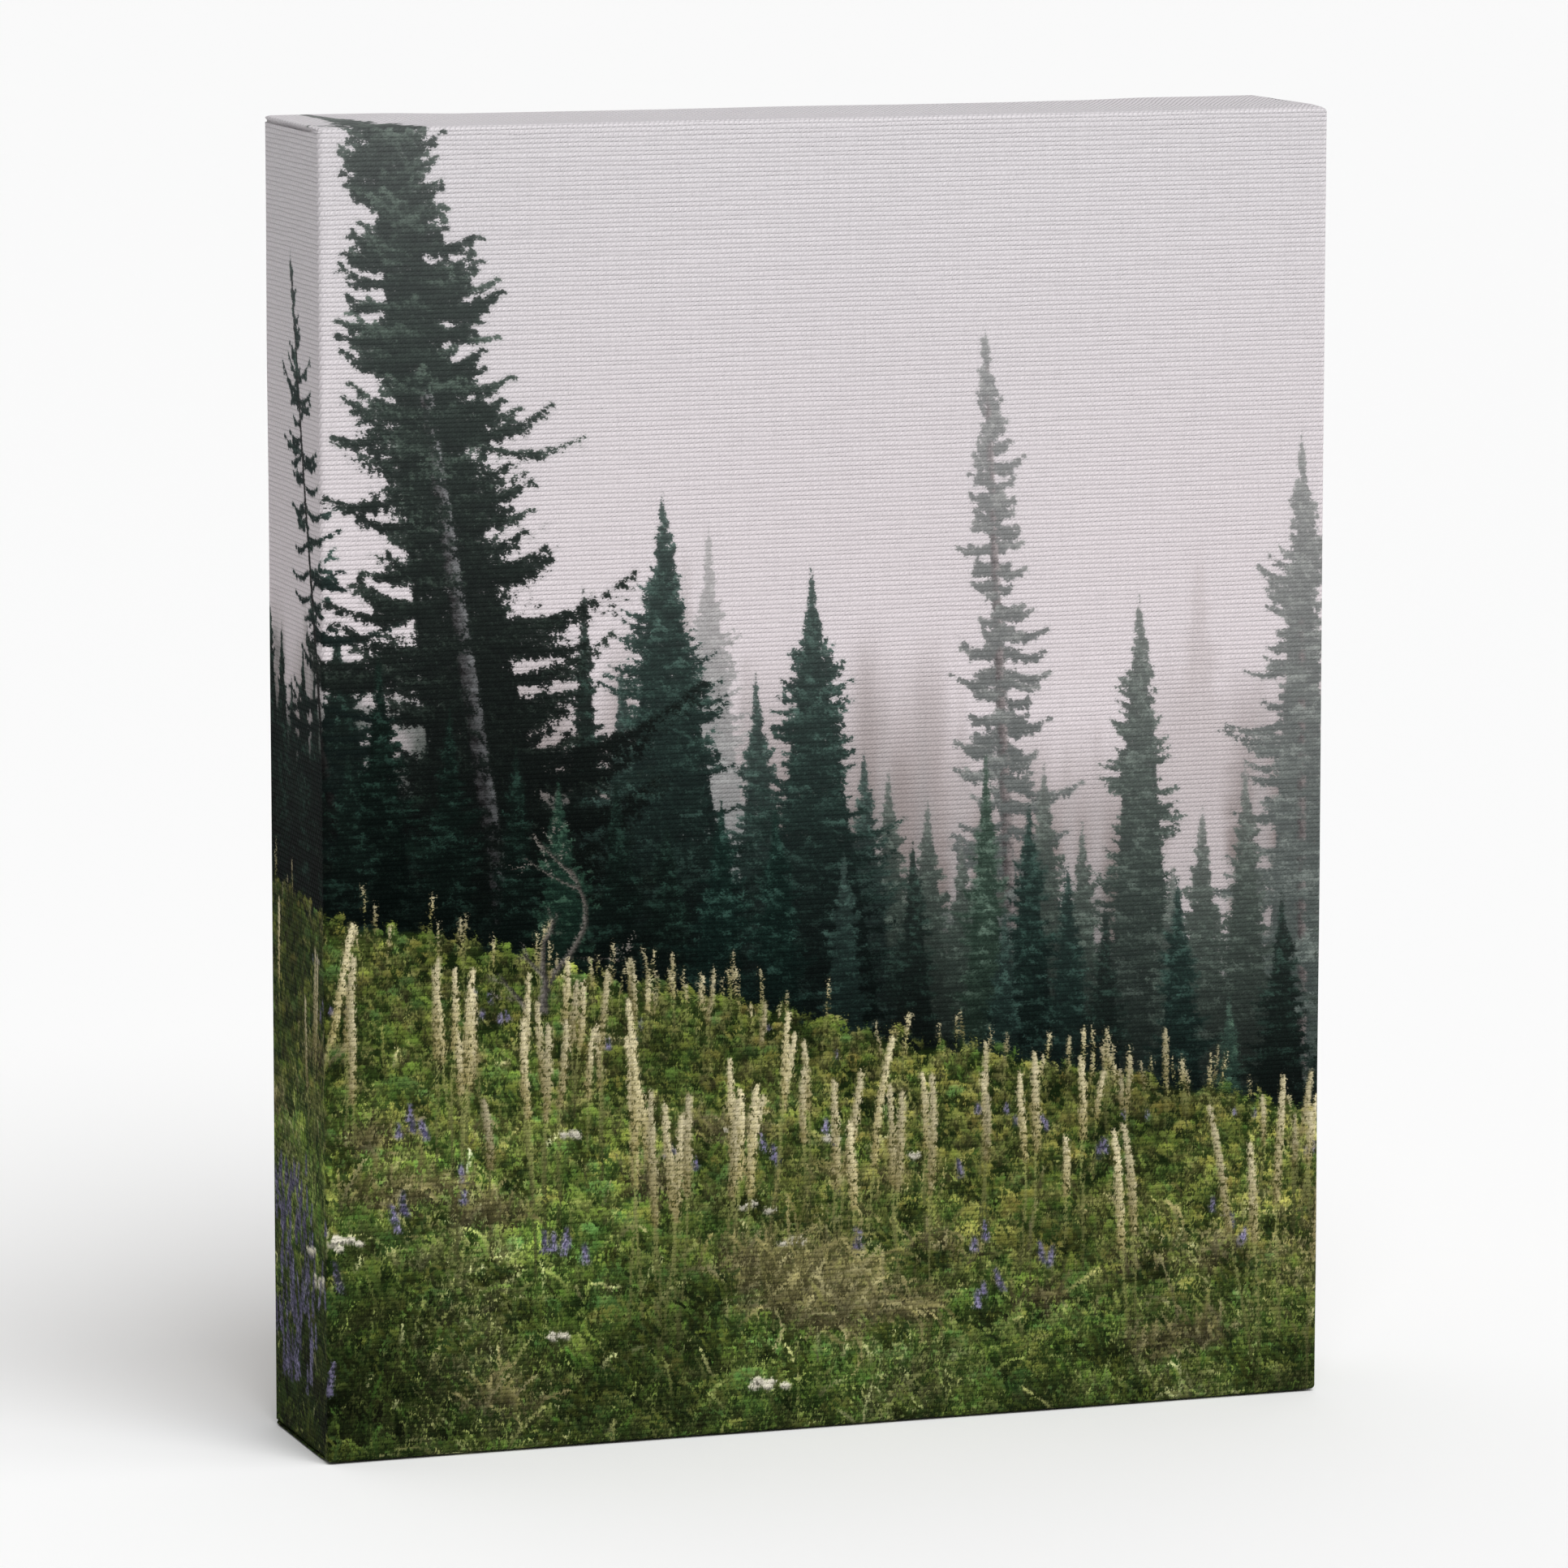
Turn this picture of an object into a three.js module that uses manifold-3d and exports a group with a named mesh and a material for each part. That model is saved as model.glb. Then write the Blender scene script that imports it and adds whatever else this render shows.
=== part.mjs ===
// Stretched canvas, 8 x 10 in, gallery depth: a printed cotton canvas wrapped round a keyed
// pine stretcher frame and stapled on the back.
//
// Millimetres, +Z up, +X to the viewer's right, the printed face looks along -Y.
// The origin is the middle of the bottom side, half way through the depth, where it stands.
//
// How it is built, from the outside in:
//   canvas_sheet            one sheet, pulled over the front and the four sides, turned onto the back
//   rail_top, rail_bottom   horizontal stretcher bars: mitred, with a tongue and a slot at each end
//   stile_left, stile_right vertical stretcher bars: mitred, with a slot and a tongue at each end
//   key_*                   eight tapered corner keys, two at each corner, that slide in the slots
//   staple_*                flat-wire staples that hold the turned edge of the canvas
//   sawtooth_hanger, hanger_nail_*   hanging plate with its two brads

import * as THREE from "three";
import { mergeVertices } from "three/addons/utils/BufferGeometryUtils.js";
import Module from "manifold-3d";

const wasm = await Module();
wasm.setup();

// ---- Driving dimensions -------------------------------------------------------------------

const WIDTH = 203.2; // 8 in, over the canvas
const HEIGHT = 254.0; // 10 in, over the canvas
const DEPTH = 38.1; // 1 1/2 in gallery depth, over the canvas

const CLOTH = 0.5; // primed cotton canvas
const GAP = 0.3; // free space between touching pieces
const TURN = 16.0; // how far the canvas is turned onto the back
const CLOTH_EDGE_R = 0.8; // how round the canvas lies over the bars' edges

const BAR_WIDTH = 22.0; // stretcher bar, outer edge to inner edge
const BEAD_WIDTH = 4.0; // raised outer bead that alone carries the canvas
const BEAD_DROP = 0.9; // step from the bead down to the slope
const SLOPE_DROP = 4.6; // how far the inner edge lies behind the canvas

const TONGUE_T = 4.0; // tongue thickness, along Y
const SLOT_T = 4.6; // slot width, along Y
const TONGUE_END = 5.0; // wood left outside the end of a tongue
const LEVEL_A = -6.0; // Y of the rails' tongues
const LEVEL_B = 6.0; // Y of the stiles' tongues

const KEY_T = 3.6; // key thickness
const KEY_IN = 13.0; // how far a key reaches into its slot
const KEY_OUT = 14.0; // how far its head stands out of the slot
const KEY_TIP = 4.0; // width at the tip
const KEY_MOUTH = 8.7; // width where it enters the slot
const SLOT_REACH = 9.3; // how far the slot runs past the neighbouring bar's inner edge

const STAPLE_CROWN = 11.0;
const STAPLE_LEG = 6.5;
const STAPLE_W = 1.1; // wire width
const STAPLE_T = 0.6; // wire thickness
const STAPLE_LIFT = 0.1; // between the crown and the canvas
const STAPLE_ROOM = 0.1; // round each leg

const HANGER_LENGTH = 44.0;
const HANGER_HEIGHT = 9.0;
const HANGER_T = 0.9;
const HANGER_RISE = 1.6; // how far its middle stands off the canvas
const HANGER_HOLE = 34.0; // between the two nail holes
const NAIL_R = 0.7;
const NAIL_HEAD_R = 1.7;
const NAIL_LENGTH = 13.0;

// ---- Positions that follow from them ------------------------------------------------------

const X1 = WIDTH / 2 - CLOTH - GAP; // outer face of a stile
const Z0 = CLOTH + GAP; // outer face of the bottom rail
const Z1 = HEIGHT - CLOTH - GAP; // outer face of the top rail
const Y_FRONT = -DEPTH / 2 + CLOTH + GAP; // bead of a bar
const Y_BACK = DEPTH / 2 - CLOTH - GAP; // back of a bar
const XI = X1 - BAR_WIDTH; // inner edge of a stile
const ZI0 = Z0 + BAR_WIDTH; // inner edge of the bottom rail
const ZI1 = Z1 - BAR_WIDTH; // inner edge of the top rail
const Y_CLOTH_BACK = DEPTH / 2; // outside of the turned canvas

// ---- Colours ------------------------------------------------------------------------------

const material = (color, roughness, metalness = 0) =>
  new THREE.MeshStandardMaterial({ color, roughness, metalness });
const CANVAS = material(0x8f9a8c, 0.9);
const PINE = material(0xd9b98a, 0.7);
const KEY_WOOD = material(0xcfa56e, 0.7);
const STEEL = material(0xb8babd, 0.35, 1);
const ZINC = material(0xc7c3b4, 0.4, 1);

// ---- Solids -------------------------------------------------------------------------------

// A closed three.js geometry as a solid that can be cut and joined.
function solid(geometry, matrix) {
  const g = geometry.index ? geometry.toNonIndexed() : geometry.clone();
  if (matrix) g.applyMatrix4(matrix);
  g.deleteAttribute("normal");
  g.deleteAttribute("uv");
  const m = mergeVertices(g, 1e-4);
  return new wasm.Manifold(
    new wasm.Mesh({
      numProp: 3,
      vertProperties: new Float32Array(m.attributes.position.array),
      triVerts: new Uint32Array(m.index.array),
    }),
  );
}

function geometryOf(made) {
  const m = made.getMesh();
  const positions = new Float32Array(m.numVert * 3);
  for (let i = 0; i < m.numVert; i++)
    positions.set(
      m.vertProperties.subarray(i * m.numProp, i * m.numProp + 3),
      i * 3,
    );
  const g = new THREE.BufferGeometry();
  g.setAttribute("position", new THREE.BufferAttribute(positions, 3));
  g.setIndex(new THREE.BufferAttribute(new Uint32Array(m.triVerts), 1));
  g.computeVertexNormals();
  return g;
}

// A box between two corners.
function block(x0, x1, y0, y1, z0, z1) {
  const g = new THREE.BoxGeometry(x1 - x0, y1 - y0, z1 - z0);
  return solid(
    g,
    new THREE.Matrix4().makeTranslation(
      (x0 + x1) / 2,
      (y0 + y1) / 2,
      (z0 + z1) / 2,
    ),
  );
}

// A polygon in the XZ plane, run along Y from y0 to y1.
function plate(points, y0, y1, holes = [], options = {}) {
  const shape = new THREE.Shape(points.map(([x, z]) => new THREE.Vector2(x, z)));
  holes.forEach((h) => shape.holes.push(h));
  const g = new THREE.ExtrudeGeometry(shape, {
    depth: y1 - y0,
    bevelEnabled: false,
    curveSegments: 10,
    ...options,
  });
  // Shape x, y and depth become X, Z and -Y, which keeps the faces pointing out.
  const m = new THREE.Matrix4().set(
    1, 0, 0, 0,
    0, 0, -1, y1,
    0, 1, 0, 0,
    0, 0, 0, 1,
  );
  return solid(g, m);
}

// ---- Stretcher bars -----------------------------------------------------------------------

// Section of a bar: w runs from the outer edge inwards, y from the front to the back.
const BAR_SECTION = [
  [0.0, Y_FRONT + 1.2],
  [0.35, Y_FRONT + 0.35],
  [1.2, Y_FRONT],
  [BEAD_WIDTH - 0.6, Y_FRONT],
  [BEAD_WIDTH, Y_FRONT + 0.2],
  [BEAD_WIDTH + 1.0, Y_FRONT + BEAD_DROP],
  [BAR_WIDTH - 0.5, Y_FRONT + SLOPE_DROP],
  [BAR_WIDTH, Y_FRONT + SLOPE_DROP + 0.5],
  [BAR_WIDTH, Y_BACK - 1.0],
  [BAR_WIDTH - 1.0, Y_BACK],
  [0.5, Y_BACK],
  [0.0, Y_BACK - 0.5],
];

// A bar of that section along +X or +Z; place maps (along, w, y) to the row frame.
function barStock(length, place) {
  const shape = new THREE.Shape(
    BAR_SECTION.map(([w, y]) => new THREE.Vector2(w, y)),
  );
  const g = new THREE.ExtrudeGeometry(shape, {
    depth: length,
    bevelEnabled: false,
  });
  return solid(g, place);
}

const MITRE = (GAP / 2) * Math.SQRT2;

function rail(top) {
  const outer = top ? Z1 : Z0;
  const s = top ? -1 : 1; // the way inwards along Z
  const along = top ? 1 : -1; // keeps the mapping right-handed
  const place = new THREE.Matrix4().set(
    0, 0, along, -along * X1,
    0, 1, 0, 0,
    s, 0, 0, outer,
    0, 0, 0, 1,
  );
  const stock = barStock(2 * X1, place);
  const inner = outer + s * BAR_WIDTH;
  const a = X1 - MITRE;
  const b = XI - MITRE;
  const outline = [
    [-a - 5, outer - s * 5],
    [a + 5, outer - s * 5],
    [b - 5, inner + s * 5],
    [-b + 5, inner + s * 5],
  ];
  let bar = stock.intersect(
    plate(top ? outline.reverse() : outline, -DEPTH, DEPTH),
  );
  for (const e of [-1, 1]) {
    const za = Math.min(inner, outer - s * -TONGUE_END);
    const zb = Math.max(inner, outer - s * -TONGUE_END);
    // Tongue, which lies in the stile's slot.
    const xa = e * (XI - 1);
    const xb = e * (X1 - TONGUE_END);
    bar = bar.add(
      block(
        Math.min(xa, xb),
        Math.max(xa, xb),
        LEVEL_A - TONGUE_T / 2,
        LEVEL_A + TONGUE_T / 2,
        za,
        zb,
      ),
    );
    // Slot for the stile's tongue and a key, open at the inner edge.
    const sa = e * (XI - SLOT_REACH);
    const sb = e * (X1 + 5);
    const deep = outer + s * (TONGUE_END - GAP);
    bar = bar.subtract(
      block(
        Math.min(sa, sb),
        Math.max(sa, sb),
        LEVEL_B - SLOT_T / 2,
        LEVEL_B + SLOT_T / 2,
        Math.min(deep, inner + s * 2),
        Math.max(deep, inner + s * 2),
      ),
    );
  }
  return bar;
}

function stile(right) {
  const outer = right ? X1 : -X1;
  const s = right ? -1 : 1; // the way inwards along X
  const along = right ? -1 : 1;
  const place = new THREE.Matrix4().set(
    s, 0, 0, outer,
    0, 1, 0, 0,
    0, 0, along, right ? Z1 : Z0,
    0, 0, 0, 1,
  );
  const stock = barStock(Z1 - Z0, place);
  const inner = outer + s * BAR_WIDTH;
  const outline = [
    [outer - s * 5, Z0 + MITRE - 5],
    [outer - s * 5, Z1 - MITRE + 5],
    [inner + s * 5, ZI1 - MITRE - 5],
    [inner + s * 5, ZI0 + MITRE + 5],
  ];
  let bar = stock.intersect(
    plate(right ? outline : outline.reverse(), -DEPTH, DEPTH),
  );
  for (const up of [false, true]) {
    const zi = up ? ZI1 : ZI0;
    const zo = up ? Z1 : Z0;
    const t = up ? 1 : -1; // the way out along Z
    const xo = outer + s * TONGUE_END;
    // Tongue, which lies in the rail's slot.
    const ta = zi - t;
    const tb = zo - t * TONGUE_END;
    bar = bar.add(
      block(
        Math.min(xo, inner),
        Math.max(xo, inner),
        LEVEL_B - TONGUE_T / 2,
        LEVEL_B + TONGUE_T / 2,
        Math.min(ta, tb),
        Math.max(ta, tb),
      ),
    );
    // Slot for the rail's tongue and a key, open at the inner edge.
    const xs = outer + s * (TONGUE_END - GAP);
    const za = zi - t * SLOT_REACH;
    const zb = zo + t * 5;
    bar = bar.subtract(
      block(
        Math.min(xs, inner + s * 2),
        Math.max(xs, inner + s * 2),
        LEVEL_A - SLOT_T / 2,
        LEVEL_A + SLOT_T / 2,
        Math.min(za, zb),
        Math.max(za, zb),
      ),
    );
  }
  return bar;
}

// ---- Canvas -------------------------------------------------------------------------------

// A slab with rounded edges all round, the outside of the wrapped canvas.
function canvasOutside() {
  const r = CLOTH_EDGE_R;
  const w = WIDTH / 2 - r;
  const shape = new THREE.Shape([
    new THREE.Vector2(-w, r),
    new THREE.Vector2(w, r),
    new THREE.Vector2(w, HEIGHT - r),
    new THREE.Vector2(-w, HEIGHT - r),
  ]);
  const g = new THREE.ExtrudeGeometry(shape, {
    depth: DEPTH - 2 * r,
    bevelEnabled: true,
    bevelThickness: r,
    bevelSize: r,
    bevelSegments: 3,
    curveSegments: 3,
  });
  return solid(
    g,
    new THREE.Matrix4().set(
      1, 0, 0, 0,
      0, 0, -1, DEPTH / 2 - r,
      0, 1, 0, 0,
      0, 0, 0, 1,
    ),
  );
}

function canvas() {
  const inside = block(
    -WIDTH / 2 + CLOTH,
    WIDTH / 2 - CLOTH,
    -DEPTH / 2 + CLOTH,
    DEPTH / 2 - CLOTH,
    CLOTH,
    HEIGHT - CLOTH,
  );
  const opening = block(
    -WIDTH / 2 + TURN,
    WIDTH / 2 - TURN,
    0,
    DEPTH,
    TURN,
    HEIGHT - TURN,
  );
  // The sides lie a little inside the rounded corners, so the shell keeps its thickness there.
  return canvasOutside().subtract(inside).subtract(opening);
}

// ---- Corner keys --------------------------------------------------------------------------

// A tapered key in the XZ plane: its straight edge lies along the neighbouring bar.
// ux, uz: the way it is driven. vx, vz: from its straight edge to its tapered edge.
function key(cx, cz, ux, uz, vx, vz, level) {
  const slope = (KEY_MOUTH - KEY_TIP) / KEY_IN;
  const head = KEY_MOUTH + slope * KEY_OUT;
  const at = (u, v) => [cx + ux * u + vx * v, cz + uz * u + vz * v];
  const points = [
    at(KEY_IN, 0),
    at(KEY_IN, KEY_TIP - 0.8),
    at(KEY_IN - 0.8, KEY_TIP - 0.8 * (1 - slope)),
    at(-KEY_OUT + 1.2, head - slope * 1.2),
    at(-KEY_OUT, head - 1.2),
    at(-KEY_OUT, 0.6),
    at(-KEY_OUT + 0.6, 0),
  ];
  const area = points.reduce((sum, [x, z], i) => {
    const [x2, z2] = points[(i + 1) % points.length];
    return sum + x * z2 - x2 * z;
  }, 0);
  return plate(
    area > 0 ? points : points.reverse(),
    level - KEY_T / 2,
    level + KEY_T / 2,
  );
}

// ---- Staples ------------------------------------------------------------------------------

// Each staple: the middle of its crown in XZ and the crown's direction in degrees from +X.
const STAPLE_IN = 10.0; // from the outer edge to the crown
const staples = [];
{
  const zt = HEIGHT - STAPLE_IN;
  const zb = STAPLE_IN;
  const xs = [-66, -36, 36, 66];
  xs.forEach((x, i) => staples.push(["top_" + (i + 1), x, zt, i % 2 ? 3 : -4]));
  [-66, -23, 21, 66].forEach((x, i) =>
    staples.push(["bottom_" + (i + 1), x, zb, i % 2 ? -3 : 5]),
  );
  const xl = WIDTH / 2 - STAPLE_IN;
  const zs = [42, 85, 127, 170, 212];
  zs.forEach((z, i) => {
    staples.push(["left_" + (i + 1), -xl, z, 90 + (i % 2 ? 4 : -3)]);
    staples.push(["right_" + (i + 1), xl, z + 1, 90 + (i % 2 ? -4 : 3)]);
  });
  const c = 13.5; // corner staples cross the folded layers
  staples.push(["corner_top_left", -WIDTH / 2 + c, HEIGHT - c, 45]);
  staples.push(["corner_top_right", WIDTH / 2 - c, HEIGHT - c, -45]);
  staples.push(["corner_bottom_left", -WIDTH / 2 + c, c, -45]);
  staples.push(["corner_bottom_right", WIDTH / 2 - c, c, 45]);
}

function stapleMatrix(x, z, degrees) {
  return new THREE.Matrix4()
    .makeTranslation(x, Y_CLOTH_BACK + STAPLE_LIFT, z)
    .multiply(
      new THREE.Matrix4().makeRotationY(-THREE.MathUtils.degToRad(degrees)),
    );
}

// Crown along local X, legs along -Y, drawn as one outline and run across the wire's width.
function stapleSolid(matrix) {
  const c = STAPLE_CROWN / 2;
  const t = STAPLE_T;
  const tip = 1.2;
  const points = [
    [-c, -STAPLE_LEG + tip],
    [-c + t, -STAPLE_LEG],
    [-c + t, 0],
    [c - t, 0],
    [c - t, -STAPLE_LEG],
    [c, -STAPLE_LEG + tip],
    [c, t - 0.25],
    [c - 0.25, t],
    [-c + 0.25, t],
    [-c, t - 0.25],
  ];
  const shape = new THREE.Shape(points.map(([x, y]) => new THREE.Vector2(x, y)));
  const g = new THREE.ExtrudeGeometry(shape, {
    depth: STAPLE_W,
    bevelEnabled: false,
  });
  g.translate(0, 0, -STAPLE_W / 2);
  return solid(g, matrix);
}

function stapleHoles(matrix) {
  const c = STAPLE_CROWN / 2;
  const t = STAPLE_T;
  const r = STAPLE_ROOM;
  const leg = (x0, x1) => {
    const g = new THREE.BoxGeometry(
      x1 - x0 + 2 * r,
      STAPLE_LEG + 2,
      STAPLE_W + 2 * r,
    );
    g.translate((x0 + x1) / 2, -(STAPLE_LEG + 2) / 2 + 1 - r - 0.4, 0);
    return solid(g, matrix);
  };
  return [leg(-c, -c + t), leg(c - t, c)];
}

// ---- Hanger -------------------------------------------------------------------------------

const HANGER_Z = HEIGHT - 11.0; // middle of the plate
const HANGER_Y = Y_CLOTH_BACK + STAPLE_LIFT;

// A strip bent up in its middle, with teeth cut in its lower edge and a hole at each end.
function hanger() {
  const l = HANGER_LENGTH / 2;
  const t = HANGER_T;
  const rise = HANGER_RISE;
  const foot = 11.0; // length of each flat end
  const ramp = 2.2;
  const side = [
    [-l, 0],
    [-l + foot, 0],
    [-l + foot + ramp, rise],
    [l - foot - ramp, rise],
    [l - foot, 0],
    [l, 0],
    [l, t],
    [l - foot + 0.25, t],
    [l - foot - ramp + 0.25, rise + t],
    [-l + foot + ramp - 0.25, rise + t],
    [-l + foot - 0.25, t],
    [-l, t],
  ];
  const shape = new THREE.Shape(side.map(([x, y]) => new THREE.Vector2(x, y)));
  const g = new THREE.ExtrudeGeometry(shape, {
    depth: HANGER_HEIGHT,
    bevelEnabled: false,
  });
  let strip = solid(
    g,
    new THREE.Matrix4().makeTranslation(0, HANGER_Y, HANGER_Z - HANGER_HEIGHT / 2),
  );
  // Outline seen from behind: rounded ends, a row of teeth along the lower edge.
  const h = HANGER_HEIGHT / 2;
  const cut = [];
  const n = 9;
  const pitch = 1.9;
  cut.push([-l, -h + 1.6], [-l + 1.6, -h], [-l + foot - 1, -h]);
  const start = (-n * pitch) / 2;
  cut.push([start - 0.6, -h]);
  for (let i = 0; i < n; i++) {
    cut.push([start + i * pitch, -h]);
    cut.push([start + (i + 0.5) * pitch, -h + 1.5]);
  }
  cut.push([start + n * pitch, -h], [start + n * pitch + 0.6, -h]);
  cut.push([l - foot + 1, -h], [l - 1.6, -h], [l, -h + 1.6]);
  cut.push([l, h - 1.6], [l - 1.6, h], [-l + 1.6, h], [-l, h - 1.6]);
  const outline = plate(
    cut.map(([x, z]) => [x, z + HANGER_Z]),
    HANGER_Y - 1,
    HANGER_Y + 5,
  );
  strip = strip.intersect(outline);
  for (const e of [-1, 1])
    strip = strip.subtract(rod(e * (HANGER_HOLE / 2), HANGER_Z, NAIL_R + 0.3, HANGER_Y - 2, HANGER_Y + 3, 16));
  return strip;
}

// A round rod along Y between y0 and y1.
function rod(x, z, r, y0, y1, sides = 14) {
  const g = new THREE.CylinderGeometry(r, r, y1 - y0, sides);
  return solid(g, new THREE.Matrix4().makeTranslation(x, (y0 + y1) / 2, z));
}

// A brad with a domed head on the plate and a pointed end in the wood.
function nail(x) {
  const top = HANGER_Y + HANGER_T + 0.05;
  const profile = [
    [0, -NAIL_LENGTH],
    [NAIL_R, -NAIL_LENGTH + 2.0],
    [NAIL_R, 0],
    [NAIL_HEAD_R, 0],
    [NAIL_HEAD_R, 0.35],
    [NAIL_HEAD_R * 0.75, 0.75],
    [0, 0.95],
  ].map(([r, y]) => new THREE.Vector2(r, y));
  const g = new THREE.LatheGeometry(profile, 16);
  return solid(g, new THREE.Matrix4().makeTranslation(x, top, HANGER_Z));
}

// ---- Assembly -----------------------------------------------------------------------------

const stretched_canvas = new THREE.Group();
stretched_canvas.name = "stretched_canvas";

function addNode(name, made, look) {
  const mesh = new THREE.Mesh(geometryOf(made), look);
  mesh.name = name;
  stretched_canvas.add(mesh);
}

const holes = staples.flatMap(([, x, z, degrees]) =>
  stapleHoles(stapleMatrix(x, z, degrees)),
);
const nailHoles = [-1, 1].map((e) =>
  rod(
    e * (HANGER_HOLE / 2),
    HANGER_Z,
    NAIL_R + 0.15,
    Y_CLOTH_BACK - NAIL_LENGTH + 0.2,
    Y_CLOTH_BACK + 1,
  ),
);
const pierced = (made, all) =>
  all.reduce((left, hole) => left.subtract(hole), made);

const near = (made, all) => {
  const box = made.boundingBox();
  return all.filter((h) => {
    const b = h.boundingBox();
    return [0, 1, 2].every((k) => b.min[k] < box.max[k] && b.max[k] > box.min[k]);
  });
};
const allHoles = [...holes, ...nailHoles];

addNode("canvas_sheet", pierced(canvas(), allHoles), CANVAS);
for (const [name, made] of [
  ["rail_top", rail(true)],
  ["rail_bottom", rail(false)],
  ["stile_left", stile(false)],
  ["stile_right", stile(true)],
])
  addNode(name, pierced(made, near(made, allHoles)), PINE);

for (const up of [true, false])
  for (const right of [false, true]) {
    const corner = (up ? "top" : "bottom") + "_" + (right ? "right" : "left");
    const ex = right ? 1 : -1;
    const ez = up ? 1 : -1;
    const zi = up ? ZI1 : ZI0;
    // Along the rail, driven into the stile's slot.
    addNode(
      "key_" + corner + "_rail",
      key(ex * XI, zi - ez * GAP, ex, 0, 0, -ez, LEVEL_A),
      KEY_WOOD,
    );
    // Along the stile, driven into the rail's slot.
    addNode(
      "key_" + corner + "_stile",
      key(ex * (XI - GAP), zi, 0, ez, -ex, 0, LEVEL_B),
      KEY_WOOD,
    );
  }

for (const [name, x, z, degrees] of staples)
  addNode("staple_" + name, stapleSolid(stapleMatrix(x, z, degrees)), STEEL);

addNode("sawtooth_hanger", hanger(), ZINC);
addNode("hanger_nail_left", nail(-HANGER_HOLE / 2), STEEL);
addNode("hanger_nail_right", nail(HANGER_HOLE / 2), STEEL);

export default stretched_canvas;
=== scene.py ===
"""The looks of the stretched canvas: printed cloth, pine bars, keys, staples and hanger."""
import math

import bmesh
import bpy
import numpy as np
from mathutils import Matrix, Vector


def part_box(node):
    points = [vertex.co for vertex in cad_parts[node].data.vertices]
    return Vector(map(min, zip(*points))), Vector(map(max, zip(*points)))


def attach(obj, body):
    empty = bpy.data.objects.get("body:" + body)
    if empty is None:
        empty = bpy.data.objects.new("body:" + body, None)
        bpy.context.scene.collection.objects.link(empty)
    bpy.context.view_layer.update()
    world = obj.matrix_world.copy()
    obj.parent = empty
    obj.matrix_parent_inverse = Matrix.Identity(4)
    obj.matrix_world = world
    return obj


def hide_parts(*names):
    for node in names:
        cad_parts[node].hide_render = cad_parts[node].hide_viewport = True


SKY = 0.22           # even light from all round
KEY = 2.38           # the large soft light, from high in front
KEY_FROM = (0.07, -0.56, 0.74)
FILL = 0.45          # a weaker one from high behind
FILL_FROM = (-0.02, 0.16, 0.27)
GRAZE = 0.60         # a third from the side, which draws out the upright threads
GRAZE_FROM = (0.80, -0.34, 0.36)
FLOOR = 0.96
PRINT_GAIN = 1.07


# ---------------------------------------------------------------- the printed picture
W_MM, H_MM, D_MM = 203.2, 254.0, 38.1
PX = 5.0                      # picture samples per millimetre
MARGIN = 58.0                 # the picture runs on past the front, round the sides
PU, PV = int((W_MM + 2 * MARGIN) * PX), int((H_MM + 2 * MARGIN) * PX)


def hexes(*codes):
    return np.array([[int(c[i:i + 2], 16) for i in (0, 2, 4)] for c in codes], np.float32) / 255.0


def value_noise(rng, cell, octaves=4, gain=0.5, aspect=1.0):
    """Smooth noise in 0..1 over the whole picture; cell is its coarsest feature in mm."""
    out = np.zeros((PV, PU), np.float32)
    total = 0.0
    amp = 1.0
    for _ in range(octaves):
        nx = max(3, int(PU / PX / cell) + 3)
        ny = max(3, int(PV / PX / (cell * aspect)) + 3)
        g = rng.random((ny, nx)).astype(np.float32)
        ys = np.linspace(0, ny - 2.001, PV)
        xs = np.linspace(0, nx - 2.001, PU)
        yi, xi = ys.astype(int), xs.astype(int)
        fy = (ys - yi).astype(np.float32)
        fx = (xs - xi).astype(np.float32)
        fy = (fy * fy * (3 - 2 * fy))[:, None]
        fx = (fx * fx * (3 - 2 * fx))[None, :]
        rows0 = g[yi][:, xi] * (1 - fx) + g[yi][:, xi + 1] * fx
        rows1 = g[yi + 1][:, xi] * (1 - fx) + g[yi + 1][:, xi + 1] * fx
        out += amp * (rows0 * (1 - fy) + rows1 * fy)
        total += amp
        amp *= gain
        cell *= 0.5
    return out / total


def blur(a, r, times=3):
    """Box blur three times over, which is close to a Gaussian of r samples."""
    r = int(r)
    if r < 1:
        return a
    for _ in range(times):
        for axis in (0, 1):
            pad = [(0, 0)] * a.ndim
            pad[axis] = (r + 1, r)
            c = np.cumsum(np.pad(a, pad, mode="edge").astype(np.float64), axis=axis)
            n = a.shape[axis]
            hi = [slice(None)] * a.ndim
            lo = [slice(None)] * a.ndim
            hi[axis] = slice(2 * r + 1, 2 * r + 1 + n)
            lo[axis] = slice(0, n)
            a = ((c[tuple(hi)] - c[tuple(lo)]) / (2 * r + 1)).astype(np.float32)
    return a


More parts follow.
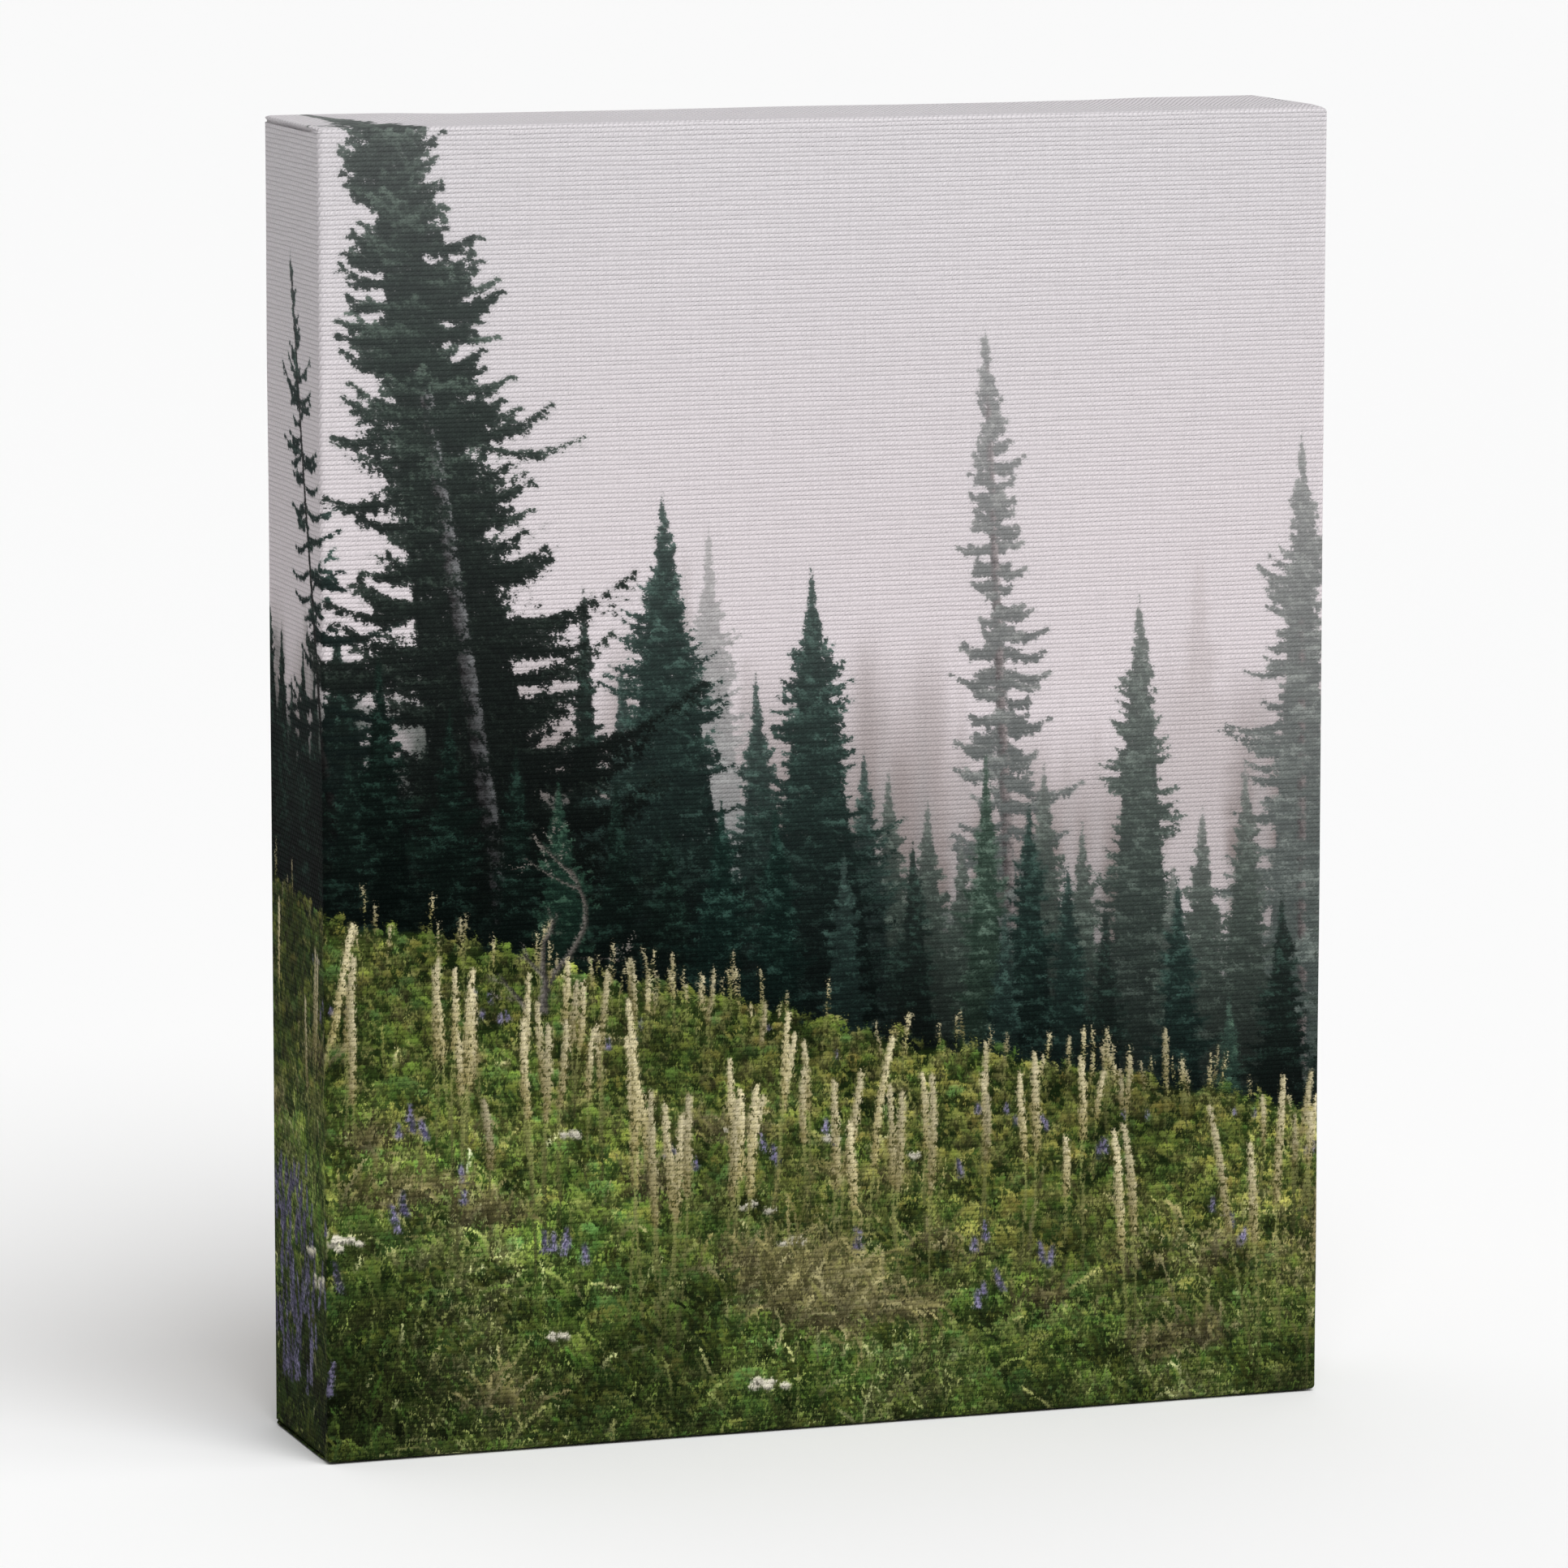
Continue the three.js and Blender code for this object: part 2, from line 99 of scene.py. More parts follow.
class Sheet:
    """The picture, painted back to front. u runs right and v down, in mm from the front's top left corner."""

    def __init__(self):
        self.rgb = np.zeros((PV, PU, 3), np.float32)

    def dots(self, u, v, rgb, size=1):
        """Small squares; later ones lie on earlier ones. size is in samples, one number for all."""
        u = np.asarray(u)
        x = ((u + MARGIN) * PX).astype(np.int32).ravel()
        y = ((np.asarray(v) + MARGIN) * PX).astype(np.int32).ravel()
        rgb = np.broadcast_to(rgb, u.shape + (3,)).reshape(-1, 3)
        x, y = x - (size - 1) // 2, y - (size - 1) // 2
        ok = (x >= 0) & (x < PU - size) & (y >= 0) & (y < PV - size)
        x, y, rgb = x[ok], y[ok], rgb[ok]
        if size == 1:
            self.rgb[y, x] = rgb
            return
        steps = [(i, j) for i in range(size) for j in range(size) if size < 3 or not (i in (0, size - 1) and j in (0, size - 1))]
        sx = np.array([i for i, _ in steps])
        sy = np.array([j for _, j in steps])
        self.rgb[(y[:, None] + sy).ravel(), (x[:, None] + sx).ravel()] = np.repeat(rgb, len(steps), axis=0)


def mix(a, b, t):
    t = np.asarray(t)[..., None]
    return a * (1 - t) + b * t


def smooth(e0, e1, x):
    t = np.clip((np.asarray(x, np.float32) - e0) / (e1 - e0), 0, 1)
    return t * t * (3 - 2 * t)


FOG_TOP = hexes("dcd6d9")[0]
FOG_LOW = hexes("d9cfd1")[0]


def fog_colour(v):
    return mix(FOG_TOP, FOG_LOW, smooth(0, 120, v))


def hashed(a, b):
    """A number in 0..1 that depends on two whole numbers."""
    return np.modf(np.abs(np.sin(a * 12.9898 + b * 78.233 + 1.7)) * 43758.5453)[0]


def conifer(sheet, rng, apex, base, half, fog=(0.0, 0.0), tones=("0b1615", "1b2e2a", "4d6a62"), gap=3.0, per=5, shape=0.8,
            slope=0.38, lift=0.34, ragged=0.35, density=2.3, size=2, bare=0.0, trunk=None, power=1.0, core=0.5, twig=1.0,
            hang=0.35, glow=0.0, front=1.0, fuzz=0.13, ground=0.0):
    """One conifer, as boughs all round a trunk with twigs on each. apex and base are (u, v), half its greatest half width in mm; fog is the share of fog at its top and its foot."""
    (ua, va), (ub, vb) = apex, base
    height = vb - va
    dark, mid_c, lit_c = hexes(*tones)

    def veil(rgb, v):
        t = np.clip((v - va) / height, 0, 1)
        rgb = rgb * (1 - ground * smooth(0.35, 0.9, t))[:, None]
        return mix(rgb, fog_colour(v), fog[0] + (fog[1] - fog[0]) * t ** power)

    def reach(t):
        return half * np.clip(0.015 + t, 0, 1) ** shape * (1 - 0.3 * smooth(0.86, 1.0, t)) * (0.36 + 0.64 * smooth(0.0, 0.20, t))

    area = 2 * half / (1 + shape) * height * PX * PX

    # a dark heart, so that the crown is seen through at its edges only
    if core > 0:
        n = int(area * core * 0.9)
        t = rng.random(n) ** (1 / (1 + shape))
        x = rng.uniform(-1, 1, n) * reach(t) * core
        vv = va + (0.03 + 0.97 * t) * height
        c = mix(dark, mid_c, np.clip(rng.normal(0.25, 0.2, n), 0, 1))
        sheet.dots(ua + (ub - ua) * t + x, vv, veil(c, vv), size)

    # the boughs
    ts = []
    t = 0.012
    while t < 1.0:
        ts.append(t)
        t += gap * (0.30 + 0.90 * t) / height * rng.uniform(0.55, 1.45)
    ts = np.repeat(np.array(ts), per)
    ts = np.clip(ts + rng.normal(0, 0.22 * gap / height, len(ts)), 0.004, 1)
    keep = rng.random(len(ts)) > bare * smooth(0.05, 0.3, ts)
    ts = ts[keep]
    nb = len(ts)
    phi = rng.uniform(0, 2 * np.pi, nb)
    phase = rng.uniform(0, 6.28, 6)
    h = ts * height
    wave = (1 + 0.20 * np.sin(h / 5.2 + phase[0] + np.sign(np.cos(phi)) * phase[1]) + 0.14 * np.sin(h / 2.3 + phase[2] + np.sign(np.cos(phi)) * phase[3]))
    long_ = reach(ts) * wave * rng.uniform(1 - ragged, 1 + 0.4 * ragged, nb)
    long_ *= np.where(rng.random(nb) < 0.07, 1.30, 1.0)
    long_ = np.maximum(long_, 0.25)
    down = -0.75 + (0.75 + slope) * smooth(-0.02, 0.30, ts) + rng.normal(0, 0.12, nb)
    tone = rng.uniform(0.45, 1.15, nb)

    n = int(area * density / 2.2)
    w = long_ + 0.12 * half
    if front < 1.0:
        w = w * np.where(np.sin(phi) > 0.15, 1 - (1 - front) * smooth(0.35, 0.55, ts), 1.0)
    cdf = np.cumsum(w / w.sum())
    b = np.minimum(np.searchsorted(cdf, rng.random(n)), nb - 1)
    lb = long_[b]
    s0 = rng.random(n) ** 0.72
    count = np.maximum(3, np.round(lb / twig)).astype(int)
    j = np.minimum(np.floor(s0 * count), count - 1)
    s = (j + 0.25 + 0.5 * hashed(b, j)) / count
    spine = rng.random(n) < 0.38
    s = np.where(spine, s0, s)
    side = np.where((j.astype(int) + b) % 2 == 0, 1.0, -1.0)
    l = lb * 0.34 * np.clip(1.10 - s, 0.05, 1) ** 0.8 * (0.6 + 0.8 * hashed(j + 3, b)) + 0.30
    q = rng.random(n) ** 0.75
    l = np.where(spine, 0.25 * l, l)
    fx = lb * s + l * q * 0.66
    fy = side * l * q * 0.75
    x = fx * np.cos(phi[b]) - fy * np.sin(phi[b])
    depth = fx * np.sin(phi[b]) + fy * np.cos(phi[b])
    fall = lb * (down[b] * s - lift * s ** 2.4) + 0.16 * l * q
    needle = np.abs(rng.normal(0, 1, n)) * hang * (0.35 + 0.65 * np.sin(np.pi * np.clip(s, 0, 1) ** 0.8)) * (0.5 + 0.8 * ts[b])
    uu = ua + (ub - ua) * ts[b] + x + rng.normal(0, fuzz, n)
    vv = va + ts[b] * height + fall + needle + rng.normal(0, fuzz * 0.6, n) - 0.05 * depth
    near = np.clip(0.5 + 0.5 * depth / (reach(ts[b]) + 0.1), 0, 1)
    lit = 0.16 + 0.42 * near + 0.30 * s + 0.14 * q - 0.50 * np.minimum(needle / (hang + 0.01), 2.0) * 0.6 + rng.normal(0, 0.13, n) + glow
    lit = np.clip(lit, 0, 1) * tone[b]
    c = mix(dark, mid_c, np.clip(lit * 1.7, 0, 1))
    c = mix(c, lit_c, np.clip((lit - 0.42) * 1.9, 0, 1))
    order = np.argsort(depth - 0.5 * needle + 0.15 * rng.random(n), kind="stable")
    fine = (s > 0.50 + 0.25 * rng.random(n)) | (ts[b] < 0.06)
    groups = [order[(depth[order] >= 0) == ahead] for ahead in (False, True)]
    for pick in (groups[0][~fine[groups[0]]], groups[0][fine[groups[0]]]):
        if len(pick):
            sheet.dots(uu[pick], vv[pick], veil(c[pick], vv[pick]), 1 if fine[pick[0]] else size)
    if trunk:
        bark, r_top, r_foot, t0 = hexes(trunk[0])[0], trunk[1], trunk[2], trunk[3]
        m = int(height * (1 - t0) * 110)
        t = t0 + (1 - t0) * rng.random(m)
        across = rng.uniform(-1, 1, m)
        r = r_top + (r_foot - r_top) * t
        v = va + t * height
        shade = 0.72 + 0.35 * across + rng.normal(0, 0.16, m) - 0.22 * (np.sin(v * 2.3 + 3 * np.sin(v * 0.41)) > 0.55)
        sheet.dots(ua + (ub - ua) * t + across * r, v, veil(np.clip(bark * shade[:, None], 0, 1), v), 2)
    for pick in (groups[1][~fine[groups[1]]], groups[1][fine[groups[1]]]):
        if len(pick):
            sheet.dots(uu[pick], vv[pick], veil(c[pick], vv[pick]), 1 if fine[pick[0]] else size)
    # the leader
    m = 90
    t = rng.random(m)
    v = va - 2.4 + t * (0.03 * height + 2.6)
    sheet.dots(ua + rng.normal(0, 0.05 + 0.25 * t, m), v, veil(np.repeat(mid_c[None], m, 0), v), 1)


def ridge(u):
    """Where the meadow meets the forest, v in mm."""
    pts_u = [-60, -30, 0, 22, 45, 66, 85, 102, 120, 136, 150, 166, 185, 203, 230, 262]
    pts_v = [142, 147, 150, 154, 161, 167, 170.5, 176, 180.5, 183.5, 187, 190, 194.5, 199, 206, 214]
    return np.interp(u, pts_u, pts_v)


NEAR = ("060d0b", "0f1c17", "2c463c")
DEEP_BLUE = ("081311", "162a24", "3c5a50")
GREEN = ("0d1b16", "213a2e", "567660")
OLIVE = ("18271f", "32483b", "62796a")
HAZE = ("2a3532", "46544f", "7a8881")
GREY = ("454c49", "5c635f", "868c87")


def compose(seed=11):
    rng = np.random.default_rng(seed)
    sh = Sheet()
    uu = (np.arange(PU) / PX - MARGIN)[None, :] + np.zeros((PV, 1))
    vv = (np.arange(PV) / PX - MARGIN)[:, None] + np.zeros((1, PU))
    # fog
    base = mix(hexes("d9d5d8")[0], hexes("ddd4d7")[0], smooth(-20, 130, vv))
    cloud = value_noise(rng, 90, 3)
    sh.rgb[:] = base * (0.985 + 0.03 * cloud)[..., None]
    # the forest behind, lost in it
    top = np.interp(uu[0], [-60, -20, 60, 95, 112, 125, 140, 150, 165, 190, 262], [96, 100, 104, 105, 105, 109, 115, 122, 118, 109, 108])
    rag = value_noise(rng, 7, 3, aspect=6)
    t = smooth(-8, 45, vv - top[None] + (rag - 0.5) * 30)
    sh.rgb[:] = mix(sh.rgb, hexes("655b56")[0], 0.88 * t)
    for (ua, va, vb, h, f0, f1) in [
        (72, 84, 150, 8, .86, .5), (177, 86, 176, 18, .955, .80), (128, 112, 170, 7, .90, .5), (168, 112, 180, 8, .94, .66),
        (112, 112, 175, 7, .80, .3), (103, 118, 180, 8, .72, .3), (120, 114, 178, 7, .76, .3), (190, 112, 185, 9, .82, .5), (156, 120, 185, 6, .86, .5),
        (84, 104, 170, 7, .80, .45), (150, 126, 185, 8, .80, .5), (-12, 92, 150, 8, .74, .5), (-28, 98, 150, 8, .72, .5),
        (215, 92, 200, 11, .80, .5), (240, 80, 200, 12, .80, .5)]:
        conifer(sh, rng, (ua, va), (ua + rng.uniform(-1, 1), vb), h, fog=(f0, f1), tones=("3b3a37", "524f4b", "77736d"), gap=4.0, shape=0.9, density=1.8)
    sh.rgb[:] = blur(sh.rgb, 3)
    # the shade under the trees
    foot = ridge(uu[0])[None, :]
    left = 1 - smooth(84, 128, uu)
    rag = value_noise(rng, 9, 4)
    t = smooth(-46, -14, vv - foot + (rag - 0.5) * 40) * left + smooth(-40, -6, vv - foot + (rag - 0.5) * 26) * (1 - left) * 0.9
    sh.rgb[:] = mix(sh.rgb, mix(hexes("0b1513")[0], hexes("18261f")[0], smooth(0.4, 0.7, rag)), np.clip(t, 0, 1))
    # the middle distance
    conifer(sh, rng, (76.5, 79), (78, 172), 20, fog=(.76, .40), tones=HAZE, gap=2.8, shape=1.0)
    conifer(sh, rng, (198.4, 65), (199.5, 205), 27, fog=(.62, .08), tones=("1b2724", "36443e", "66746c"), gap=3.2, per=6, shape=0.90, density=2.0, core=0.34,
            ragged=0.45, trunk=("5b5653", 0.2, 1.0, 0.25), bare=0.12, hang=0.5)
    conifer(sh, rng, (164.6, 96), (165.5, 198), 15, fog=(.56, .03), tones=("121e1a", "26372e", "57695f"), gap=2.6, per=6, shape=0.72, density=2.4, core=0.5, power=0.62, ground=0.35)
    conifer(sh, rng, (132.5, 42), (139.5, 182), 14.5, fog=(.58, .10), tones=("2a3432", "454f4b", "79827c"), gap=4.9, per=5, shape=0.60, density=1.8, core=0.10,
            ragged=0.55, bare=0.22, trunk=("6e6765", 0.2, 1.25, 0.04), slope=0.42, lift=0.40, hang=0.8, power=1.2, twig=1.3, fuzz=0.2)
    for (ua, va, vb, h, f0, f1) in [(113, 128, 184, 13, .48, .10), (121, 134, 186, 13, .50, .10), (128, 142, 188, 12, .45, .08), (145, 128, 190, 14, .58, .12),
                                    (153, 140, 194, 12, .5, .10), (178, 138, 200, 15, .62, .12), (187, 130, 204, 15, .62, .12), (172, 150, 200, 12, .5, .08), (208, 140, 212, 14, .6, .1)]:
        conifer(sh, rng, (ua, va), (ua + 0.5, vb), h, fog=(f0, f1 * 0.3), tones=("111c17", "24342b", "506156"), gap=2.6, per=6, shape=1.0, power=0.42, ground=0.45)
    conifer(sh, rng, (230, 75), (232, 210), 24, fog=(.55, .06), tones=("1f2b28", "3a4843", "6d7a73"), gap=3.4, shape=0.9)
    conifer(sh, rng, (252, 90), (252, 210), 22, fog=(.5, .05), tones=DEEP_BLUE, gap=3.0, shape=1.0)
    for (ua, va, ub, vb, h, f0, f1, tn, sp) in [
        (51.6, 90, 52, 168, 12, .28, .0, NEAR, 1.1), (59, 106, 60, 175, 16, .32, .0, DEEP_BLUE, 1.0), (86, 108, 88, 180, 16, .36, .02, DEEP_BLUE, 1.0),
        (108, 124, 109, 186, 14, .32, .04, DEEP_BLUE, 1.0), (97.3, 88, 99, 184, 27, .38, .0, DEEP_BLUE, 1.0), (67.3, 72.5, 70, 178, 31, .36, .0, DEEP_BLUE, 1.0)]:
        conifer(sh, rng, (ua, va), (ub, vb), h, fog=(f0, f1), tones=tn, gap=2.7, per=6, shape=sp, power=0.45, core=0.5, density=2.6, ground=0.5)
    # the near trees on the left
    for (ua, va, vb, h) in [(-38, 90, 156, 22), (-52, 86, 156, 19), (-29, 98, 156, 18), (-14, 100, 157, 18), (-6, 104, 158, 18), (3, 96, 158, 19), (-22, 108, 156, 16)]:
        conifer(sh, rng, (ua, va), (ua + 1, vb), h, fog=(.14, .0), tones=NEAR, gap=2.9, per=6, shape=0.95, core=0.6, power=0.6, ground=0.45)
    conifer(sh, rng, (-20.5, 26), (8, 156), 33, fog=(.36, .0), tones=("081413", "14241f", "3a554c"), gap=6.0, per=3, shape=0.80, density=1.15, core=0.0,
            ragged=0.6, trunk=("2b2c2b", 0.15, 1.0, 0.0), slope=0.26, lift=0.30, power=0.5, hang=0.4, twig=2.4, fuzz=0.16, ground=0.4)
    conifer(sh, rng, (7.5, -38), (37, 160), 42, fog=(.62, .0), tones=("070f0d", "14211b", "45594c"), gap=4.6, per=10, shape=0.98, density=3.8, core=0.30,
            ragged=0.42, slope=0.30, lift=0.36, power=0.5, hang=0.75, twig=1.5, bare=0.05, trunk=("85888a", 0.5, 1.9, 0.42), front=0.12, fuzz=0.18, ground=0.45)
    # young ones along the meadow
    for (ua, va, vb, h, tn) in [
        (11, 101, 160, 15, NEAR), (25, 112, 166, 14, NEAR), (5, 120, 160, 14, NEAR), (38, 120, 172, 13, NEAR), (46.5, 127, 176, 14, GREEN), (58, 128, 178, 14, NEAR),
        (68, 136, 180, 15, NEAR), (79, 132, 182, 15, DEEP_BLUE), (90, 134, 186, 13, DEEP_BLUE), (104, 144, 192, 12, DEEP_BLUE), (118, 142, 192, 11, NEAR),
        (133, 126, 194, 11, OLIVE), (142, 136, 192, 13, DEEP_BLUE), (137, 156, 198, 10, DEEP_BLUE), (150, 148, 200, 12, DEEP_BLUE), (158, 156, 202, 10, NEAR),
        (173, 152, 205, 12, DEEP_BLUE), (184, 176, 209, 9, GREEN), (195, 156, 210, 14, NEAR), (206, 166, 216, 13, NEAR), (222, 160, 221, 14, NEAR),
        (240, 165, 224, 14, NEAR), (-30, 120, 160, 14, NEAR), (-14, 126, 162, 13, NEAR), (-44, 122, 160, 13, NEAR)]:
        fog = (0.06, 0.0) if ua < 100 else (0.20, 0.0)
        conifer(sh, rng, (ua, va), (ua + rng.uniform(-1, 1), vb), h, fog=fog, gap=2.2, per=6, tones=tn, shape=1.0, power=0.6, density=2.5, core=0.5, ground=0.35)
    sh.rgb[:] = mix(sh.rgb, blur(sh.rgb, 1, 1), np.full(sh.rgb.shape[:2], 0.3, np.float32))
    meadow(sh, rng, uu, vv)
    return sh


def blades(sh, u, v, length, lean, bend, c0, c1, width=1, steps=22):
    """Curved blades of grass from (u, v) upwards."""
    s = np.linspace(0, 1, steps)
    a = lean[:, None] + bend[:, None] * s
    du = np.cumsum(np.sin(a) * length[:, None] / steps, axis=1)
    dv = -np.cumsum(np.cos(a) * length[:, None] / steps, axis=1)
    col = c0[:, None, :] * (1 - s[:, None]) + c1[:, None, :] * s[:, None]
    sh.dots(u[:, None] + du, v[:, None] + dv, col, width)


LEAF = hexes("5f7033", "6c7838", "516731", "5a6d30", "4a6233", "737c3a", "536d3b", "606d31")
OCHRE = hexes("7b7a3f", "717038", "838145", "6a7138", "78713c")
GRASS = hexes("767f42", "6a793c", "567035", "888c4e", "4c662d", "9a9a5e")
STRAW = hexes("b2a974", "a19a64", "c1b987", "939158")
GLOOM = hexes("14200f", "1a2812", "0f190b", "1f2d15")


def meadow(sh, rng, uu, vv):
    edge = ridge(uu[0])[None, :] + (value_noise(rng, 5, 3) - 0.5) * 5
    deep = value_noise(rng, 16, 4)
    ground = mix(hexes("18240f")[0], hexes("3a4620")[0], smooth(0.3, 0.75, deep))
    sh.rgb[:] = mix(sh.rgb, ground, smooth(-0.6, 0.6, vv - edge))
    dark = value_noise(rng, 24, 3)
    straw = value_noise(rng, 30, 3)
    shrub = value_noise(rng, 34, 3)

    def at(field, u, v):
        y = np.clip(((np.asarray(v) + MARGIN) * PX).astype(int), 0, PV - 1)
        x = np.clip(((np.asarray(u) + MARGIN) * PX).astype(int), 0, PU - 1)
        return field[y, x]

    rows = 72
    lo, hi = -MARGIN, W_MM + MARGIN
    for k in range(rows):
        r = (k + 0.5) / rows
        scale = 0.42 + 1.15 * r

        def line(n, jitter=1.0):
            u = rng.uniform(lo, hi, n)
            e = ridge(u)
            return u, e + (H_MM + MARGIN - e) * r ** 1.12 + rng.normal(0, 1.1 * jitter, n)

        # domes of leaves, lit from above
        n = int(105 * (1 - 0.45 * r))
        u, v = line(n)
        a = rng.uniform(1.2, 4.6, n) * scale
        K = int(90 + 230 * r)
        ang = rng.random((n, K)) * 2 * np.pi
        q = np.sqrt(rng.random((n, K)))
        lu = u[:, None] + np.cos(ang) * q * a[:, None]
        hv = np.sin(ang) * q
        flat = rng.uniform(0.55, 0.95, n)[:, None]
        lv = v[:, None] + (hv - 0.6) * a[:, None] * flat
        field = at(shrub, u, v)
        right = smooth(70, 140, u) * (1 - smooth(0.30, 0.48, r)) * smooth(0.0, 0.05, r)
        ochre = rng.random(n) < np.clip(0.18 + 0.75 * right * smooth(0.25, 0.6, field) + 0.25 * smooth(0.6, 0.8, field), 0, 1)
        tone = np.where(ochre[:, None], OCHRE[rng.integers(0, len(OCHRE), n)], LEAF[rng.integers(0, len(LEAF), n)])
        key = (0.40 + 1.10 * at(dark, u, v)) * rng.uniform(0.78, 1.12, n) * (1.12 - 0.22 * smooth(0.30, 0.66, r)) * (1 - 0.30 * smooth(90, 0, u) * smooth(0.36, 0.56, r))
        light = np.clip(0.84 - 0.30 * hv + rng.normal(0, 0.13, (n, K)), 0.2, 1.16) * key[:, None]
        c = np.clip(tone[:, None, :] * light[..., None], 0, 1)
        hole = rng.random((n, K)) < 0.06 + 0.16 * (hv > 0.2)
        c = np.where(hole[..., None], GLOOM[rng.integers(0, len(GLOOM), (n, K))], c)
        order = np.argsort(-hv + 0.5 * rng.random((n, K)), axis=1)
        sh.dots(np.take_along_axis(lu, order, 1), np.take_along_axis(lv, order, 1), np.take_along_axis(c, order[..., None], 1), 2 if r < 0.28 else 3)

        # tufts of grass
        n = int(150 + 50 * r)
        u, v = line(n)
        st = at(straw, u, v)
        dk = at(dark, u, v)
        K = 13
        size = rng.uniform(2.4, 6.6, n) * scale * (0.75 + 0.6 * st)
        dry = rng.random(n) < smooth(0.50, 0.8, st) * 0.6
        tone = np.where(dry[:, None], STRAW[rng.integers(0, len(STRAW), n)], GRASS[rng.integers(0, len(GRASS), n)])
        key = (0.45 + 0.9 * dk) * rng.uniform(0.6, 1.05, n) * (1.12 - 0.40 * smooth(0.3, 0.66, r)) * (1 - 0.25 * smooth(90, 0, u) * smooth(0.36, 0.56, r))
        sway = 0.35 * np.sin(u * 0.09 + 40 * r)
        fan = rng.normal(0, 0.42, (n, K)) + sway[:, None]
        tips = np.clip(tone[:, None, :] * (key[:, None] * rng.uniform(0.6, 1.25, (n, K)))[..., None], 0, 1).reshape(-1, 3)
        blades(sh, (u[:, None] + rng.normal(0, 0.55, (n, K)) * scale).ravel(), (v[:, None] + rng.normal(0, 0.35, (n, K))).ravel(),
               (size[:, None] * rng.uniform(0.45, 1.1, (n, K))).ravel(), fan.ravel(), (fan * 1.1 + rng.normal(0, 0.5, (n, K))).ravel(),
               tips * 0.42, tips, 1, steps=int(16 + 26 * r))

    # the ground is a little out of focus, the plants on it are not
    soft = blur(sh.rgb, 1, 1)
    sh.rgb[:] = mix(sh.rgb, soft, 0.25 * smooth(-2, 2, vv - edge))
    for k in range(60):
        r = (k + 0.5) / 60
        n = int(230 + 330 * r)
        u = rng.uniform(lo, hi, n)
        e = ridge(u)
        v = e + 1.0 + (H_MM + MARGIN - e) * r ** 1.12 + rng.normal(0, 1.3, n)
        st, dk = at(straw, u, v), at(dark, u, v)
        thin = rng.random(n) < 0.30 + 0.9 * smooth(0.35, 0.7, st)
        u, v, st, dk = u[thin], v[thin], st[thin], dk[thin]
        n = len(u)
        dry = rng.random(n) < smooth(0.50, 0.8, st) * 0.6
        tone = np.where(dry[:, None], STRAW[rng.integers(0, len(STRAW), n)], GRASS[rng.integers(0, len(GRASS), n)])
        key = (0.50 + 1.05 * dk) * rng.uniform(0.6, 1.25, n) * (1.08 - 0.10 * smooth(0.3, 0.66, r)) * np.where(dry, 0.9, 1.0)
        sway = 0.55 * np.sin(u * 0.07 + 26 * r) + 0.25
        tips = np.clip(tone * key[:, None], 0, 1)
        blades(sh, u, v, rng.gamma(4.0, 0.85, n) * (0.5 + 1.1 * r), rng.normal(0, 0.40, n) + 0.5 * sway, rng.normal(0, 0.55, n) + sway, tips * 0.38, tips,
               1, steps=int(16 + 26 * r))
    # long single blades that bow over
    n = 1500
    u, r = rng.uniform(lo, hi, n), rng.uniform(0.16, 1.0, n) ** 0.9
    e = ridge(u)
    v = e + (H_MM + MARGIN - e) * r ** 1.12
    st, dk = at(straw, u, v), at(dark, u, v)
    dry = rng.random(n) < 0.30 + 0.5 * smooth(0.45, 0.7, st)
    tone = np.where(dry[:, None], STRAW[rng.integers(0, len(STRAW), n)], GRASS[rng.integers(0, len(GRASS), n)])
    tips = np.clip(tone * ((0.62 + 0.8 * dk) * rng.uniform(0.6, 1.15, n) * (1.1 - 0.10 * smooth(0.3, 0.7, r)))[:, None], 0, 1)
    order = np.argsort(r, kind="stable")
    length = rng.gamma(6.0, 1.15, n) * (0.45 + 1.0 * r)
    lean, bend = rng.normal(0.05, 0.45, n), rng.normal(0.15, 1.1, n)
    for part in (order[::2], order[1::2]):
        blades(sh, u[part], v[part], length[part], lean[part], bend[part], tips[part] * 0.45, tips[part], 1 if part[0] == order[1] else 2, steps=80)
    # greener towards the bottom
    low = smooth(22, 58, vv - ridge(uu[0])[None, :])[..., None]
    sh.rgb[:] *= 1 + low * np.array([0.04, 0.11, 0.08], np.float32)
    for p in sow(rng):
        e = float(ridge(p[2]))
        p[0](sh, rng, p[2], e + (H_MM + MARGIN - e) * p[1] ** 1.12, p[1], *p[3:])


